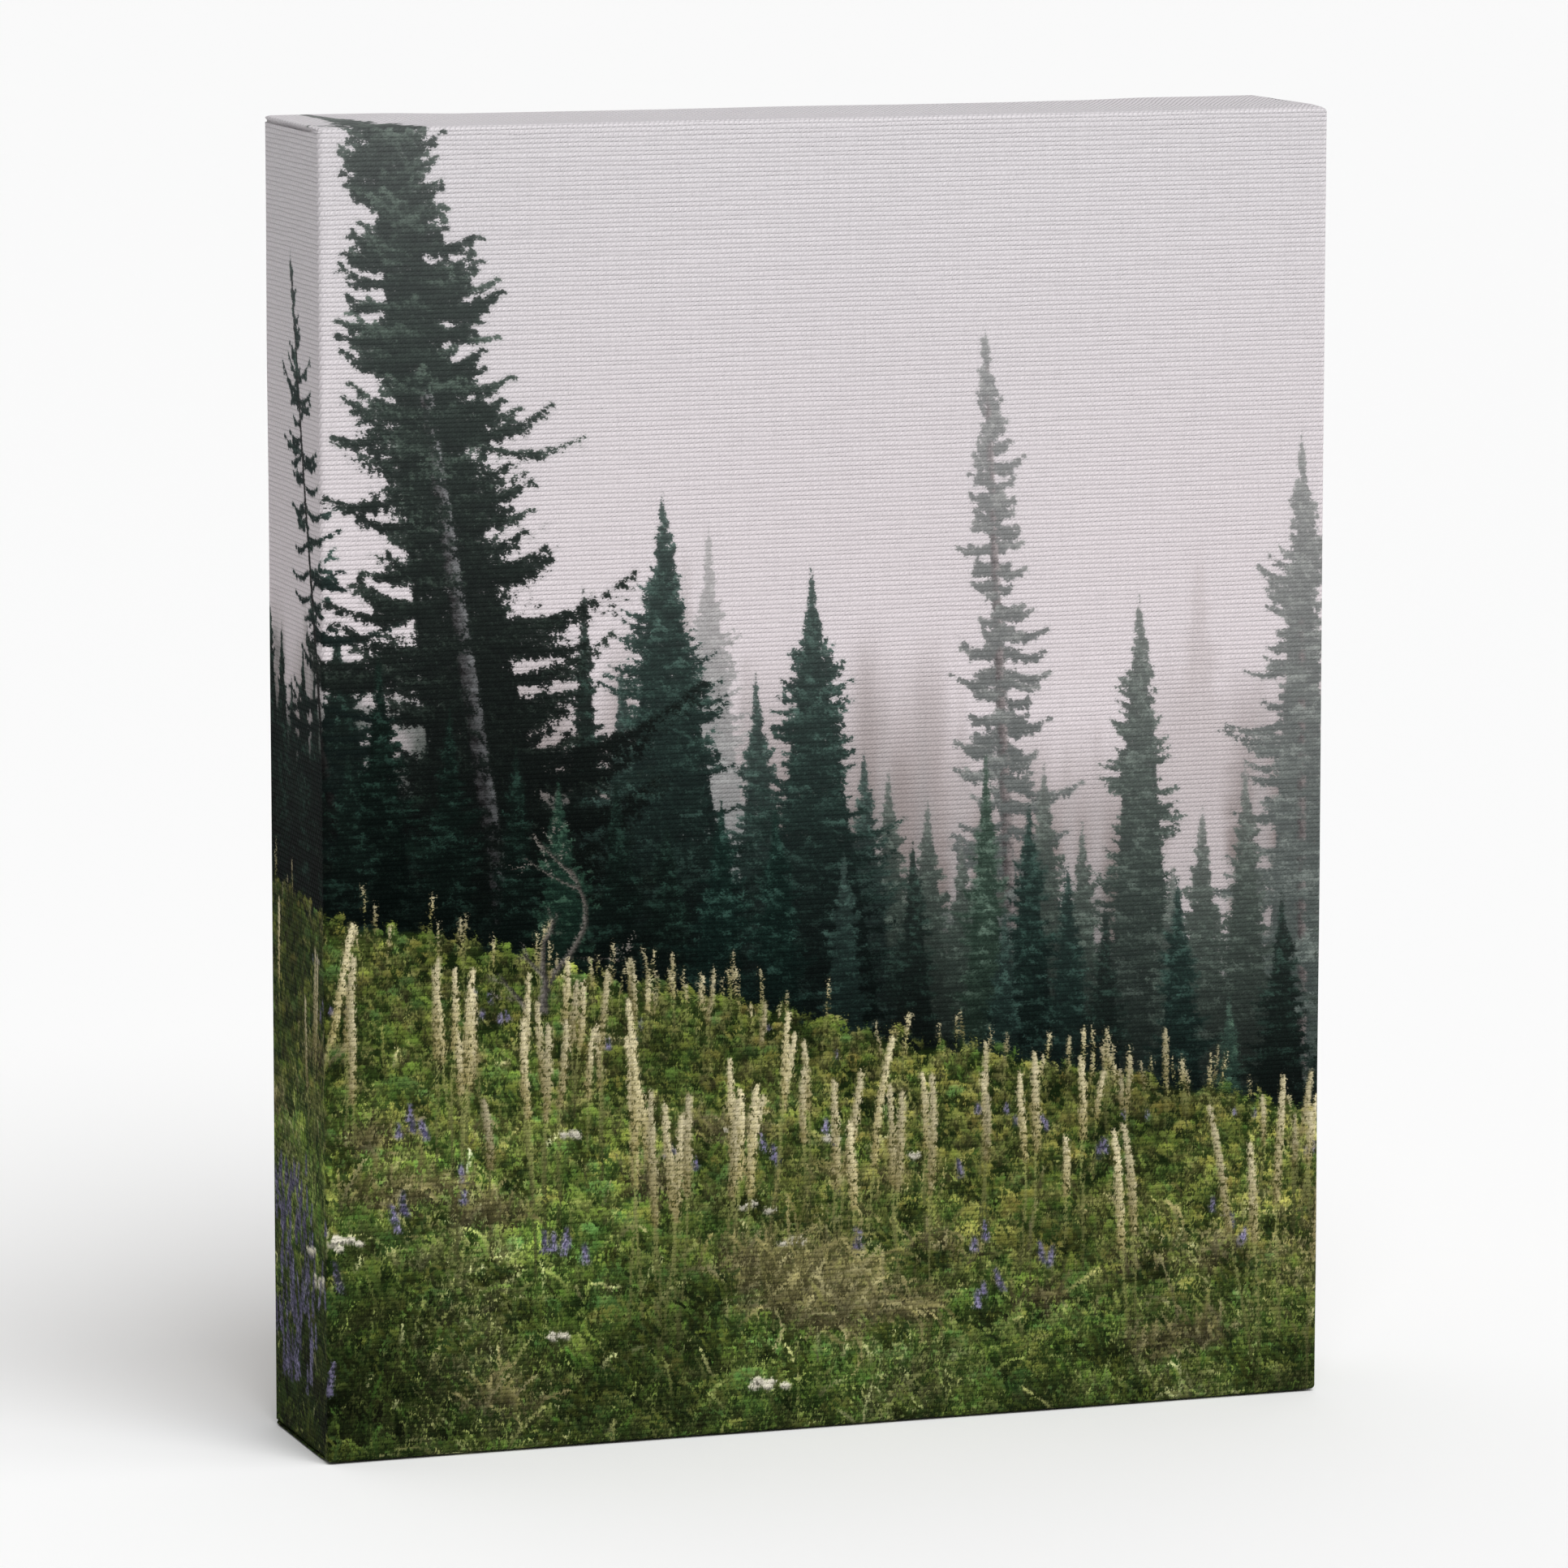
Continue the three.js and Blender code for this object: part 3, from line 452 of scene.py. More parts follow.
def spike(sh, rng, u, v, r, big, lean, tone):
    """A tall cream flower spike on a thin stalk, rooted at (u, v)."""
    head = (5.6 + 40 * r) * big
    stalk = head * rng.uniform(0.9, 1.5) + 1.5
    v = v + 0.5 * head
    width = (0.64 + 1.75 * r) * rng.uniform(0.85, 1.15)
    total = head + stalk
    steps = max(20, int(total * 10))
    s = np.linspace(0, 1, steps)
    a = lean + rng.normal(0, 0.10) * s ** 1.5 + 0.05 * np.sin(s * 7 + rng.uniform(0, 6))
    du = np.cumsum(np.sin(a)) * total / steps
    dv = -np.cumsum(np.cos(a)) * total / steps
    k = s < stalk / total + 0.05
    c = hexes("989b60")[0] * (tone * (0.50 + 0.85 * s[k]))[:, None]
    sh.dots(u + du[k], v + dv[k], c, 1 if r < 0.16 else 2)
    n = int(head * width * 30)
    hs = rng.random(n) ** 0.9
    idx = np.clip(((stalk + hs * head) / total * (steps - 1)).astype(int), 0, steps - 1)
    prof = width * 0.5 * (0.66 + 0.50 * np.sin(np.pi * np.clip(hs * 0.85 + 0.22, 0, 1))) * np.sqrt(np.clip((1.0 - hs) * 16 + 0.25, 0, 1))
    off = rng.uniform(-1, 1, n)
    whorl = 0.70 + 0.30 * np.sin((hs * head + 0.35 * off) * 6.2831853 / (0.55 + 0.9 * r))
    hu = u + du[idx] + off * prof * (0.75 + 0.35 * whorl)
    hv = v + dv[idx] + rng.normal(0, 0.12, n)
    ripe = np.clip(hs * 0.9 + rng.normal(0.15, 0.2, n) + 0.12 * off, 0, 1)
    pale = mix(hexes("8d8352")[0], hexes("dcd1ac")[0], ripe)
    shade = 0.62 + 0.42 * whorl + 0.10 * off
    gaps = rng.random(n) < 0.12 + 0.50 * (1 - smooth(0.0, 0.7, hs)) * (whorl < 0.78)
    c = np.where(gaps[:, None], hexes("4a4a2a")[0], pale * (shade * tone)[:, None])
    order = np.argsort(whorl + 0.4 * rng.random(n), kind="stable")
    sh.dots(hu[order], hv[order], np.clip(c[order], 0, 1), 1 if r < 0.10 else 2)


def lupine(sh, rng, u, v, r, big, lean, tone):
    """A short spike of violet flowers."""
    head = (1.5 + 5.5 * r) * big
    stalk = head * 1.1
    n = int(head * 26)
    hs = rng.random(n)
    w = (0.34 + 1.0 * r) * (1.05 - 0.75 * hs)
    hu = u + lean * (stalk + hs * head) + rng.uniform(-1, 1, n) * w
    hv = v - stalk - hs * head
    c = hexes("66627f", "837d9f", "a09ab4", "4b4962", "716d8b", "3d4a35")[rng.integers(0, 6, n)] * tone
    m = 30
    t = rng.random(m)
    sh.dots(u + lean * t * stalk, v - t * stalk, hexes("43562b")[0] * 0.8, 1)
    sh.dots(hu, hv, c, 2 if r > 0.12 else 1)


def umbel(sh, rng, u, v, r, big, lean, tone):
    """A flat head of white flowers."""
    w = (1.1 + 3.4 * r) * big
    stalk = 3 + 12 * r
    t = rng.random(60)
    sh.dots(u + lean * t * stalk, v - t * stalk, hexes("55633a")[0] * 0.9, 1)
    for _ in range(9):
        cu = u + lean * stalk + rng.uniform(-1, 1) * w
        cv = v - stalk + rng.normal(0, 0.16) * w
        n = int(26 + 60 * r)
        a = rng.random(n) * 6.2831853
        q = np.sqrt(rng.random(n)) * (0.24 * w + 0.15)
        light = np.clip(0.82 - 0.25 * np.sin(a) + rng.normal(0, 0.1, n), 0, 1)
        sh.dots(cu + np.cos(a) * q, cv + np.sin(a) * q * 0.6, hexes("e6e0cc")[0] * light[:, None] * tone, 2 if r > 0.15 else 1)


def straw_tuft(sh, rng, u, v, r, big, lean, tone):
    """Dry grass that falls over to all sides."""
    n = int(110 * big)
    fan = rng.normal(lean + 0.35, 0.55, n)
    length = rng.gamma(5.0, 1.0, n) * (0.5 + 1.2 * r) * big
    c = STRAW[rng.integers(0, len(STRAW), n)] * (rng.uniform(0.45, 1.0, n) * tone)[:, None]
    blades(sh, u + rng.normal(0, 4.5, n) * big, v + rng.normal(0, 1.3, n), length, fan * 0.8, fan * rng.uniform(0.6, 2.2, n), c * 0.5, c, 1, steps=36)
    m = n // 4
    c = STRAW[rng.integers(0, len(STRAW), m)] * (rng.uniform(0.75, 1.1, m) * tone)[:, None]
    blades(sh, u + rng.normal(0, 4.5, m) * big, v + rng.normal(0, 1.3, m), length[:m] * 1.2, fan[:m] * 0.8, fan[:m] * rng.uniform(0.8, 2.2, m), c * 0.45, c, 2, steps=50)


def herb(sh, rng, u, v, r, big, lean, tone):
    """A leafy plant, its narrow leaves spread like a fan."""
    n = int(34 * big)
    fan = rng.uniform(-1.3, 1.3, n) + lean
    length = rng.uniform(1.2, 3.6, n) * (0.5 + 1.3 * r) * big
    c = LEAF[rng.integers(0, len(LEAF), n)] * (rng.uniform(0.6, 1.25, n) * tone)[:, None]
    blades(sh, u + rng.normal(0, 2.2, n) * (0.4 + r), v + rng.normal(0, 1.4, n) * (0.4 + r), length, fan * 0.8, fan * 0.5, c * 0.6, c, 1 if r < 0.2 else 2, steps=22)


def snag(sh, rng, u, v, r, big, lean, tone):
    """A dead grey branch with a few forks."""
    def limb(x, y, a, length, width, level):
        steps = int(length * 8) + 4
        s = np.linspace(0, 1, steps)
        ang = a + np.cumsum(rng.normal(0, 0.035, steps))
        x2 = x + np.cumsum(np.sin(ang)) * length / steps
        y2 = y - np.cumsum(np.cos(ang)) * length / steps
        for off in np.linspace(-0.5, 0.5, max(1, int(width * 5))):
            w = width * (1 - 0.8 * s)
            c = hexes("8b857e")[0] * np.clip(0.68 - 0.45 * off + rng.normal(0, 0.08, steps), 0.2, 1.1)[:, None] * tone
            sh.dots(x2 + off * w, y2, c, 1)
        if level < 3:
            for _ in range(3 if level == 0 else 2):
                i = rng.integers(steps // 4, steps - 2)
                limb(x2[i], y2[i], ang[i] + rng.choice([-1, 1]) * rng.uniform(0.35, 0.9), length * rng.uniform(0.3, 0.55), width * 0.5, level + 1)
    limb(u, v, lean, 30 * big, 1.5, 0)
    limb(u + 1.0, v + 1, lean - 0.55, 15 * big, 1.8, 1)
    limb(u - 2.0, v + 1, lean - 0.9, 10 * big, 1.0, 1)


def sow(rng):
    """What grows where: (kind, row 0..1, u, size, lean, tone)."""
    out = []
    # clusters of spikes, thick in the upper half of the meadow
    for _ in range(24):
        u = rng.uniform(-56, 258)
        r = float(np.clip(rng.beta(1.5, 2.6) * 0.62, 0.015, 0.56))
        if r > 0.36 and rng.random() < 0.45:
            r *= 0.6
        for _ in range(1 + rng.poisson(1.2)):
            out.append((spike, float(np.clip(r + rng.normal(0, 0.012), 0.01, 0.6)), u + rng.normal(0, 2.2 + 4.5 * r), rng.uniform(0.66, 1.12), rng.normal(0.02, 0.055), rng.uniform(0.74, 0.98)))
    for (u, r, m, s) in [(82, .37, 5, 2.2), (70, .45, 4, 1.6), (118, .40, 3, 2.0), (103, .35, 2, 1.4), (27, .28, 4, 3.5), (44, .31, 4, 3.0), (56, .24, 3, 3.0),
                         (142, .33, 2, 3.0), (163, .43, 2, 1.5), (190, .44, 4, 3.5), (3, .30, 2, 1.5), (92, .26, 4, 3.0), (128, .26, 3, 4.0), (-14, .33, 3, 4.0)]:
        for _ in range(m):
            out.append((spike, r + rng.normal(0, 0.012), u + rng.normal(0, s), rng.uniform(0.85, 1.15), rng.normal(0.02, 0.05), rng.uniform(0.82, 1.0)))
    # small distant ones in loose drifts
    for (c0, c1, n) in [(-50, -20, 10), (6, 60, 18), (62, 96, 22), (100, 150, 9), (150, 182, 26), (186, 250, 12)]:
        for _ in range(n):
            out.append((spike, rng.uniform(0.012, 0.085), rng.uniform(c0, c1), rng.uniform(0.5, 0.95), rng.normal(0, 0.07), rng.uniform(0.75, 1.0)))
    for _ in range(44):
        u, r = rng.uniform(-56, 250), rng.uniform(0.03, 0.45)
        for _ in range(1 + rng.poisson(1.6)):
            out.append((lupine, float(np.clip(r + rng.normal(0, 0.01), 0.01, 0.9)), u + rng.normal(0, 2.4), rng.uniform(0.7, 1.2), rng.normal(0, 0.1), rng.uniform(0.75, 1.05)))
    for _ in range(120):
        out.append((lupine, rng.uniform(0.42, 0.66), rng.normal(-24, 9), rng.uniform(0.9, 1.5), rng.normal(0, 0.15), rng.uniform(0.65, 1.0)))
    for _ in range(9):
        out.append((umbel, rng.uniform(0.06, 0.62), rng.uniform(-50, 120), rng.uniform(0.5, 0.9), rng.normal(0, 0.1), rng.uniform(0.85, 1.0)))
    for (u, r) in [(-12, .50), (-6, .53), (3, .47), (88, .63)]:
        out.append((umbel, r, u, 1.1, 0.05, 1.0))
    for _ in range(20):
        out.append((straw_tuft, rng.uniform(0.20, 0.66), rng.uniform(-50, 250), rng.uniform(0.6, 1.2), rng.normal(0, 0.3), rng.uniform(0.7, 1.0)))
    for u in (88, 93, 98, 103):
        out.append((straw_tuft, 0.40 + 0.004 * (u - 88), u, 1.5, 0.25, 1.0))
    for _ in range(240):
        r = rng.uniform(0.05, 0.95)
        out.append((herb, r, rng.uniform(-56, 258), rng.uniform(0.5, 1.1), rng.normal(0, 0.3), rng.uniform(0.65, 1.0) * (1 - 0.2 * r)))
    for (u, r, big, lean) in [(-5, .27, 1.45, 0.20), (60, .42, 1.25, 0.03), (63, .44, 1.3, 0.0), (66, .43, 1.1, -0.03), (107, .34, 1.35, 0.08), (-31, .20, 1.2, -0.1)]:
        out.append((spike, r, u, big, lean, 0.98))
    out.append((snag, 0.075, 42.5, 1.0, 0.42, 0.95))
    out.sort(key=lambda p: p[1])
    return out


def paint_picture():
    rgb = compose().rgb
    return np.clip(rgb - 0.022 * (1 - rgb), 0, 1)


# ---------------------------------------------------------------- node helpers
class Nodes:
    """A short way to write a node tree."""

    def __init__(self, tree):
        self.t = tree

    def new(self, kind, **props):
        n = self.t.nodes.new(kind)
        for k, v in props.items():
            setattr(n, k, v)
        return n

    def put(self, socket, value):
        if isinstance(value, bpy.types.NodeSocket):
            self.t.links.new(value, socket)
        elif value is not None:
            socket.default_value = value

    def math(self, op, a, b=None, c=None, clamp=False):
        n = self.new("ShaderNodeMath", operation=op, use_clamp=clamp)
        for i, v in enumerate((a, b, c)):
            if v is not None:
                self.put(n.inputs[i], v)
        return n.outputs[0]

    def add(self, a, b):
        return self.math("ADD", a, b)

    def mul(self, a, b):
        return self.math("MULTIPLY", a, b)

    def ramp01(self, x, lo, hi, a=0.0, b=1.0, smooth_=True):
        n = self.new("ShaderNodeMapRange", interpolation_type="SMOOTHSTEP" if smooth_ else "LINEAR")
        for i, v in enumerate((x, lo, hi, a, b)):
            self.put(n.inputs[i], v)
        return n.outputs[0]

    def mix(self, f, a, b, blend="MIX"):
        n = self.new("ShaderNodeMix", data_type="RGBA", blend_type=blend)
        self.put(n.inputs[0], f)
        self.put(n.inputs[6], a)
        self.put(n.inputs[7], b)
        return n.outputs[2]

    def xyz(self, x, y, z):
        n = self.new("ShaderNodeCombineXYZ")
        for i, v in enumerate((x, y, z)):
            self.put(n.inputs[i], v)
        return n.outputs[0]

    def split(self, v):
        n = self.new("ShaderNodeSeparateXYZ")
        self.put(n.inputs[0], v)
        return n.outputs

    def noise(self, vector, scale, detail=3.0, rough=0.5, distortion=0.0):
        n = self.new("ShaderNodeTexNoise", noise_dimensions="3D")
        self.put(n.inputs["Vector"], vector)
        for k, v in (("Scale", scale), ("Detail", detail), ("Roughness", rough), ("Distortion", distortion)):
            self.put(n.inputs[k], v)
        return n.outputs[0]

    def scaled(self, vector, sx, sy, sz, loc=(0, 0, 0)):
        n = self.new("ShaderNodeMapping")
        self.put(n.inputs["Vector"], vector)
        n.inputs["Scale"].default_value = (sx, sy, sz)
        n.inputs["Location"].default_value = loc
        return n.outputs[0]

    def ramp(self, fac, stops):
        n = self.new("ShaderNodeValToRGB")
        self.put(n.inputs[0], fac)
        r = n.color_ramp
        while len(r.elements) < len(stops):
            r.elements.new(0.5)
        for e, (p, c) in zip(r.elements, stops):
            e.position = p
            e.color = c
        return n.outputs[0]


def lin(code):
    """A linear colour from an sRGB hex code."""
    out = []
    for i in (0, 2, 4):
        c = int(code[i:i + 2], 16) / 255
        out.append(c / 12.92 if c <= 0.04045 else ((c + 0.055) / 1.055) ** 2.4)
    return (*out, 1.0)


def fresh(name):
    m = bpy.data.materials.new(name)
    m.use_nodes = True
    m.node_tree.nodes.clear()
    n = Nodes(m.node_tree)
    out = n.new("ShaderNodeOutputMaterial")
    bsdf = n.new("ShaderNodeBsdfPrincipled")
    n.t.links.new(bsdf.outputs[0], out.inputs[0])
    return m, n, bsdf


def bumped(n, bsdf, height, distance, strength=1.0, normal=None):
    b = n.new("ShaderNodeBump")
    b.inputs["Strength"].default_value = strength
    b.inputs["Distance"].default_value = distance
    n.put(b.inputs["Height"], height)
    if normal is not None:
        n.put(b.inputs["Normal"], normal)
    n.t.links.new(b.outputs[0], bsdf.inputs["Normal"])
    return b.outputs[0]


# ---------------------------------------------------------------- cloth
WEFT = 0.90      # mm between the rows of the weave
WARP = 0.50      # mm between the upright threads


def weave(n, flat):
    """Relief of a plain weave with heavy cross threads, 0 in the gaps and 1 on the threads."""
    u, v, _ = n.split(flat)
    # threads wander a little and swell here and there
    wander = n.noise(n.xyz(n.mul(u, 0.07), n.mul(v, 0.9), 0.0), 1.0, 2.0)
    v2 = n.add(v, n.mul(n.math("SUBTRACT", wander, 0.5), 0.55))
    wander_u = n.noise(n.xyz(n.mul(u, 0.8), n.mul(v, 0.06), 7.0), 1.0, 2.0)
    u2 = n.add(u, n.mul(n.math("SUBTRACT", wander_u, 0.5), 0.40))
    b = n.math("DIVIDE", v2, WEFT)
    row = n.math("FLOOR", b)
    fb = n.math("SUBTRACT", b, row)
    odd = n.math("FLOORED_MODULO", row, 2.0)
    slant = n.mul(n.math("SUBTRACT", fb, 0.5), 0.42)
    a = n.add(n.add(n.math("DIVIDE", u2, 2 * WARP), n.mul(odd, 0.5)), slant)
    dash = n.add(0.5, n.mul(0.5, n.math("COSINE", n.mul(a, 6.2831853))))
    across = n.math("POWER", n.math("SINE", n.mul(fb, 3.14159265)), 0.6)
    slub = n.noise(n.xyz(n.mul(u, 0.25), n.mul(row, 3.7), 3.0), 1.0, 2.0)
    relief = n.mul(across, n.add(0.30, n.mul(0.70, dash)))
    return n.mul(relief, n.ramp01(slub, 0.25, 0.75, 0.72, 1.1))


def flat_attribute(n):
    a = n.new("ShaderNodeAttribute", attribute_name="flat", attribute_type="GEOMETRY")
    return a.outputs["Vector"]


def printed_canvas():
    m, n, bsdf = fresh("printed_canvas")
    flat = flat_attribute(n)
    relief = weave(n, flat)
    # each point knows the lighter and the darker ink about it and the lighter one's share; noise finer than the mesh deals them out
    light = n.new("ShaderNodeAttribute", attribute_name="print", attribute_type="GEOMETRY")
    deep = n.new("ShaderNodeAttribute", attribute_name="print_low", attribute_type="GEOMETRY")
    u, v, _ = n.split(flat)
    needles = n.noise(n.xyz(n.mul(u, 1.9), n.mul(v, 2.6), 2.0), 1.0, 2.0, 0.6)
    grass = n.noise(n.xyz(n.add(n.mul(u, 2.6), n.mul(v, 0.5)), n.mul(v, 1.1), 9.0), 1.0, 2.0, 0.6, 0.4)
    kind = deep.outputs["Alpha"]
    deal = n.add(n.mul(needles, n.math("SUBTRACT", 1.0, kind)), n.mul(grass, kind))
    share = n.add(light.outputs["Alpha"], n.mul(n.math("SUBTRACT", deal, 0.5), 2.0))
    pic = n.mix(n.ramp01(share, 0.40, 0.60), deep.outputs["Color"], light.outputs["Color"])
    # painted shade and highlight from the weave's relief: the colour is darkened in the gaps between the threads and
    # lightened a little on their tops
    shade = n.ramp01(relief, 0.0, 1.0, 0.84, 1.08, False)
    col = n.mix(1.0, pic, n.xyz(shade, shade, shade), "MULTIPLY")
    grain = n.noise(flat, 2.3, 3.0, 0.65)
    tint = n.ramp01(grain, 0.2, 0.8, 0.955, 1.045, False)
    col = n.mix(1.0, col, n.xyz(tint, tint, tint), "MULTIPLY")
    n.put(bsdf.inputs["Base Color"], col)
    n.put(bsdf.inputs["Roughness"], n.ramp01(relief, 0.0, 1.0, 0.86, 0.66, False))
    bsdf.inputs["Specular IOR Level"].default_value = 0.03
    fine = n.noise(flat, 5.0, 2.0, 0.6)
    bumped(n, bsdf, n.add(relief, n.mul(fine, 0.25)), 0.00036, 1.0)
    return m


def raw_canvas():
    m, n, bsdf = fresh("raw_canvas")
    flat = flat_attribute(n)
    relief = weave(n, flat)
    u, v, _ = n.split(flat)
    tone = n.noise(n.xyz(n.mul(u, 0.6), n.mul(v, 0.04), 1.0), 1.0, 3.0)
    tone2 = n.noise(n.xyz(n.mul(u, 0.04), n.mul(v, 0.7), 5.0), 1.0, 3.0)
    col = n.mix(n.math("MULTIPLY", n.add(tone, tone2), 0.5), lin("cfc4ad"), lin("e6dfcf"))
    shade = n.ramp01(relief, 0.0, 1.0, 0.60, 1.05, False)
    col = n.mix(1.0, col, n.xyz(shade, shade, shade), "MULTIPLY")
    # seed flecks of raw cotton
    fleck = n.ramp01(n.noise(flat, 1.6, 2.0, 0.6), 0.74, 0.80)
    col = n.mix(n.mul(fleck, 0.55), col, lin("7d6a4a"))
    n.put(bsdf.inputs["Base Color"], col)
    bsdf.inputs["Roughness"].default_value = 0.92
    bsdf.inputs["Specular IOR Level"].default_value = 0.15
    bsdf.inputs["Sheen Weight"].default_value = 0.2
    bsdf.inputs["Sheen Roughness"].default_value = 0.5
    fine = n.noise(flat, 7.0, 2.0, 0.6)
    bumped(n, bsdf, n.add(relief, n.mul(fine, 0.4)), 0.00022, 0.8)
    return m


def wood(name, axis, seed, pale, mid, dark, centre=0.0, ring=0.0042, knots=True):
    """Sawn softwood. axis is the bar's length, 0 for X and 2 for Z."""
    m, n, bsdf = fresh(name)
    pos = n.new("ShaderNodeTexCoord").outputs["Object"]
    s = n.split(pos)
    along, deep, cross = (s[0], s[1], s[2]) if axis == 0 else (s[2], s[1], s[0])
    # growth rings: cylinders round a pith far outside the bar, bent by slow noise along it
    slow = n.noise(n.xyz(n.mul(along, 5.0), n.mul(deep, 16.0), n.add(n.mul(cross, 16.0), seed)), 1.0, 2.0)
    dy = n.add(deep, 0.026 + 0.004 * seed)
    dz = n.add(cross, 0.006 * ((seed * 7) % 5 - 2) - centre)
    radius = n.math("SQRT", n.add(n.mul(dy, dy), n.mul(dz, dz)))
    radius = n.add(radius, n.mul(n.math("SUBTRACT", slow, 0.5), 0.012))
    rings = n.math("FRACT", n.math("DIVIDE", radius, ring))
    late = n.mul(n.ramp01(rings, 0.45, 0.93), n.ramp01(rings, 1.0, 0.95))
    fibre = n.noise(n.xyz(n.mul(along, 55.0), n.mul(deep, 1900.0), n.mul(cross, 1900.0)), 1.0, 4.0, 0.6)
    streak = n.noise(n.xyz(n.mul(along, 14.0), n.mul(deep, 420.0), n.add(n.mul(cross, 420.0), seed)), 1.0, 3.0, 0.6)
    col = n.mix(n.ramp01(streak, 0.25, 0.8), lin(pale), lin(mid))
    col = n.mix(n.mul(late, 0.75), col, lin(dark))
    col = n.mix(n.mul(n.ramp01(fibre, 0.5, 0.8), 0.28), col, lin(dark))
    height = n.add(n.mul(fibre, 0.6), n.mul(late, -0.5))
    if knots:
        v = n.new("ShaderNodeTexVoronoi", feature="F1", voronoi_dimensions="3D")
        n.put(v.inputs["Vector"], n.xyz(n.mul(along, 11.0), n.mul(deep, 20.0), n.add(n.mul(cross, 20.0), seed * 3.1)))
        v.inputs["Scale"].default_value = 1.0
        v.inputs["Randomness"].default_value = 0.9
        d = v.outputs["Distance"]
        rim = n.ramp01(d, 0.17, 0.11)
        col = n.mix(n.mul(rim, 0.75), col, lin("6b3f1e"))
        col = n.mix(n.mul(n.ramp01(d, 0.10, 0.04), 0.6), col, lin("3e2413"))
        col = n.mix(n.mul(n.ramp01(d, 0.42, 0.17), 0.30), col, lin(dark))
    # planer ripple across the grain
    ripple = n.math("SINE", n.mul(along, 6.2831853 / 0.0017))
    height = n.add(height, n.mul(ripple, 0.06))
    n.put(bsdf.inputs["Base Color"], col)
    n.put(bsdf.inputs["Roughness"], n.ramp01(fibre, 0.2, 0.8, 0.58, 0.76, False))
    bsdf.inputs["Specular IOR Level"].default_value = 0.3
    bumped(n, bsdf, height, 0.00010, 0.6)
    return m


def metal(name, base, tint, rough, scratch=(900.0, 60.0), patch=0.35, spots=None):
    m, n, bsdf = fresh(name)
    pos = n.new("ShaderNodeTexCoord").outputs["Object"]
    fine = n.noise(n.scaled(pos, scratch[0], scratch[0], scratch[1]), 1.0, 3.0, 0.6)
    cloud = n.noise(n.scaled(pos, 420, 420, 420), 1.0, 3.0, 0.6)
    col = n.mix(n.ramp01(cloud, 0.3, 0.7, 0.0, patch), lin(base), lin(tint))
    if spots:
        s = n.ramp01(n.noise(n.scaled(pos, 1500, 1500, 1500, (3, 1, 2)), 1.0, 2.0, 0.5), 0.66, 0.76)
        col = n.mix(n.mul(s, 0.5), col, lin(spots))
    n.put(bsdf.inputs["Base Color"], col)
    bsdf.inputs["Metallic"].default_value = 1.0
    r = n.add(n.ramp01(cloud, 0.3, 0.7, rough - 0.06, rough + 0.10, False), n.mul(n.math("SUBTRACT", fine, 0.5), 0.14))
    n.put(bsdf.inputs["Roughness"], r)
    bumped(n, bsdf, fine, 0.00003, 0.5)
    return m


# ---------------------------------------------------------------- the wrapped canvas
EDGE_R = 0.90        # how softly the canvas turns over the bars' edges
CLOTH = 0.5          # its thickness
TURN = 16.0          # how far it is turned onto the back
PRINT_TURN = 9.0     # how far the print runs on there
NU, NV = 402, 504    # cells across and down the front
STEP = 6             # the inside has one cell where the front has six
FOLD = 0.30          # how far the folded layers lift the flap at its ends


def stations():
    """The path of the cloth from the front's flat out over the edge, back along the side and onto the back:
    (out, y, normal out, normal y, run), out from the side's plane and y from the front's, in mm."""
    r = EDGE_R
    path = []
    for k in range(1, 6):
        a = math.radians(18 * k)
        path.append((-r + r * math.sin(a), r * (1 - math.cos(a)), math.sin(a), -math.cos(a), r * a, "front"))
    run = r * math.pi / 2
    n = 72
    for k in range(1, n + 1):
        y = r + (D_MM - 2 * r) * k / n
        path.append((0.0, y, 1.0, 0.0, run + y - r, "side"))
    run += D_MM - 2 * r
    for k in range(1, 5):
        a = math.radians(22.5 * k)
        path.append((-r + r * math.cos(a), D_MM - r + r * math.sin(a), math.cos(a), math.sin(a), run + r * a, "back"))
    run += r * math.pi / 2
    for b in (2.6, 4.4, 6.6, 9.0, 10.0, 11.2, 12.8, 14.4, TURN):
        path.append((-b, D_MM, 0.0, 1.0, run + b - r, "turn"))
    return path


# The section of a folded corner, from the top flap to the side: how far in from the side's plane,
# and how far down from the top's. The flap ends in a round fold; the side's cloth comes out under it.
LIP_IN = np.array([0.70, 0.34, 0.12, 0.05, 0.24, 0.56, 0.42, 0.08])
LIP_DOWN = np.array([-0.98, -0.80, -0.42, 0.04, 0.26, 0.34, 0.80, 1.02])     # negative ones are shares of the fold's height
RET_IN = np.array([0.80, 0.36, 0.12, 0.05, 0.16, 0.30, 0.12, 0.02])
RET_UP = np.array([0.98, 0.80, 0.42, 0.0, -0.14, -0.24, -0.16, -0.06])       # positive ones are shares
RET_DOWN = np.array([0.0, 0.0, 0.0, 0.0, 0.04, 0.16, 0.46, 0.90])


def lumps(seed, count, size):
    """A smooth random function of two numbers, in about -1..1."""
    g = np.random.default_rng(seed)
    k = g.normal(0, 1.0 / size, (count, 2))
    p = g.uniform(0, 2 * np.pi, count)

    def f(a, b):
        a, b = np.broadcast_arrays(np.asarray(a, float), np.asarray(b, float))
        out = np.zeros(a.shape)
        for (ka, kb), ph in zip(k, p):
            out += np.sin(ka * a + kb * b + ph)
        return out / math.sqrt(count)
    return f


soft_top = lumps(5, 7, 14.0)
soft_face = lumps(6, 8, 45.0)
seam_wave = lumps(7, 6, 3.0)
edge_wave = lumps(8, 7, 9.0)
side_wave = lumps(9, 7, 18.0)


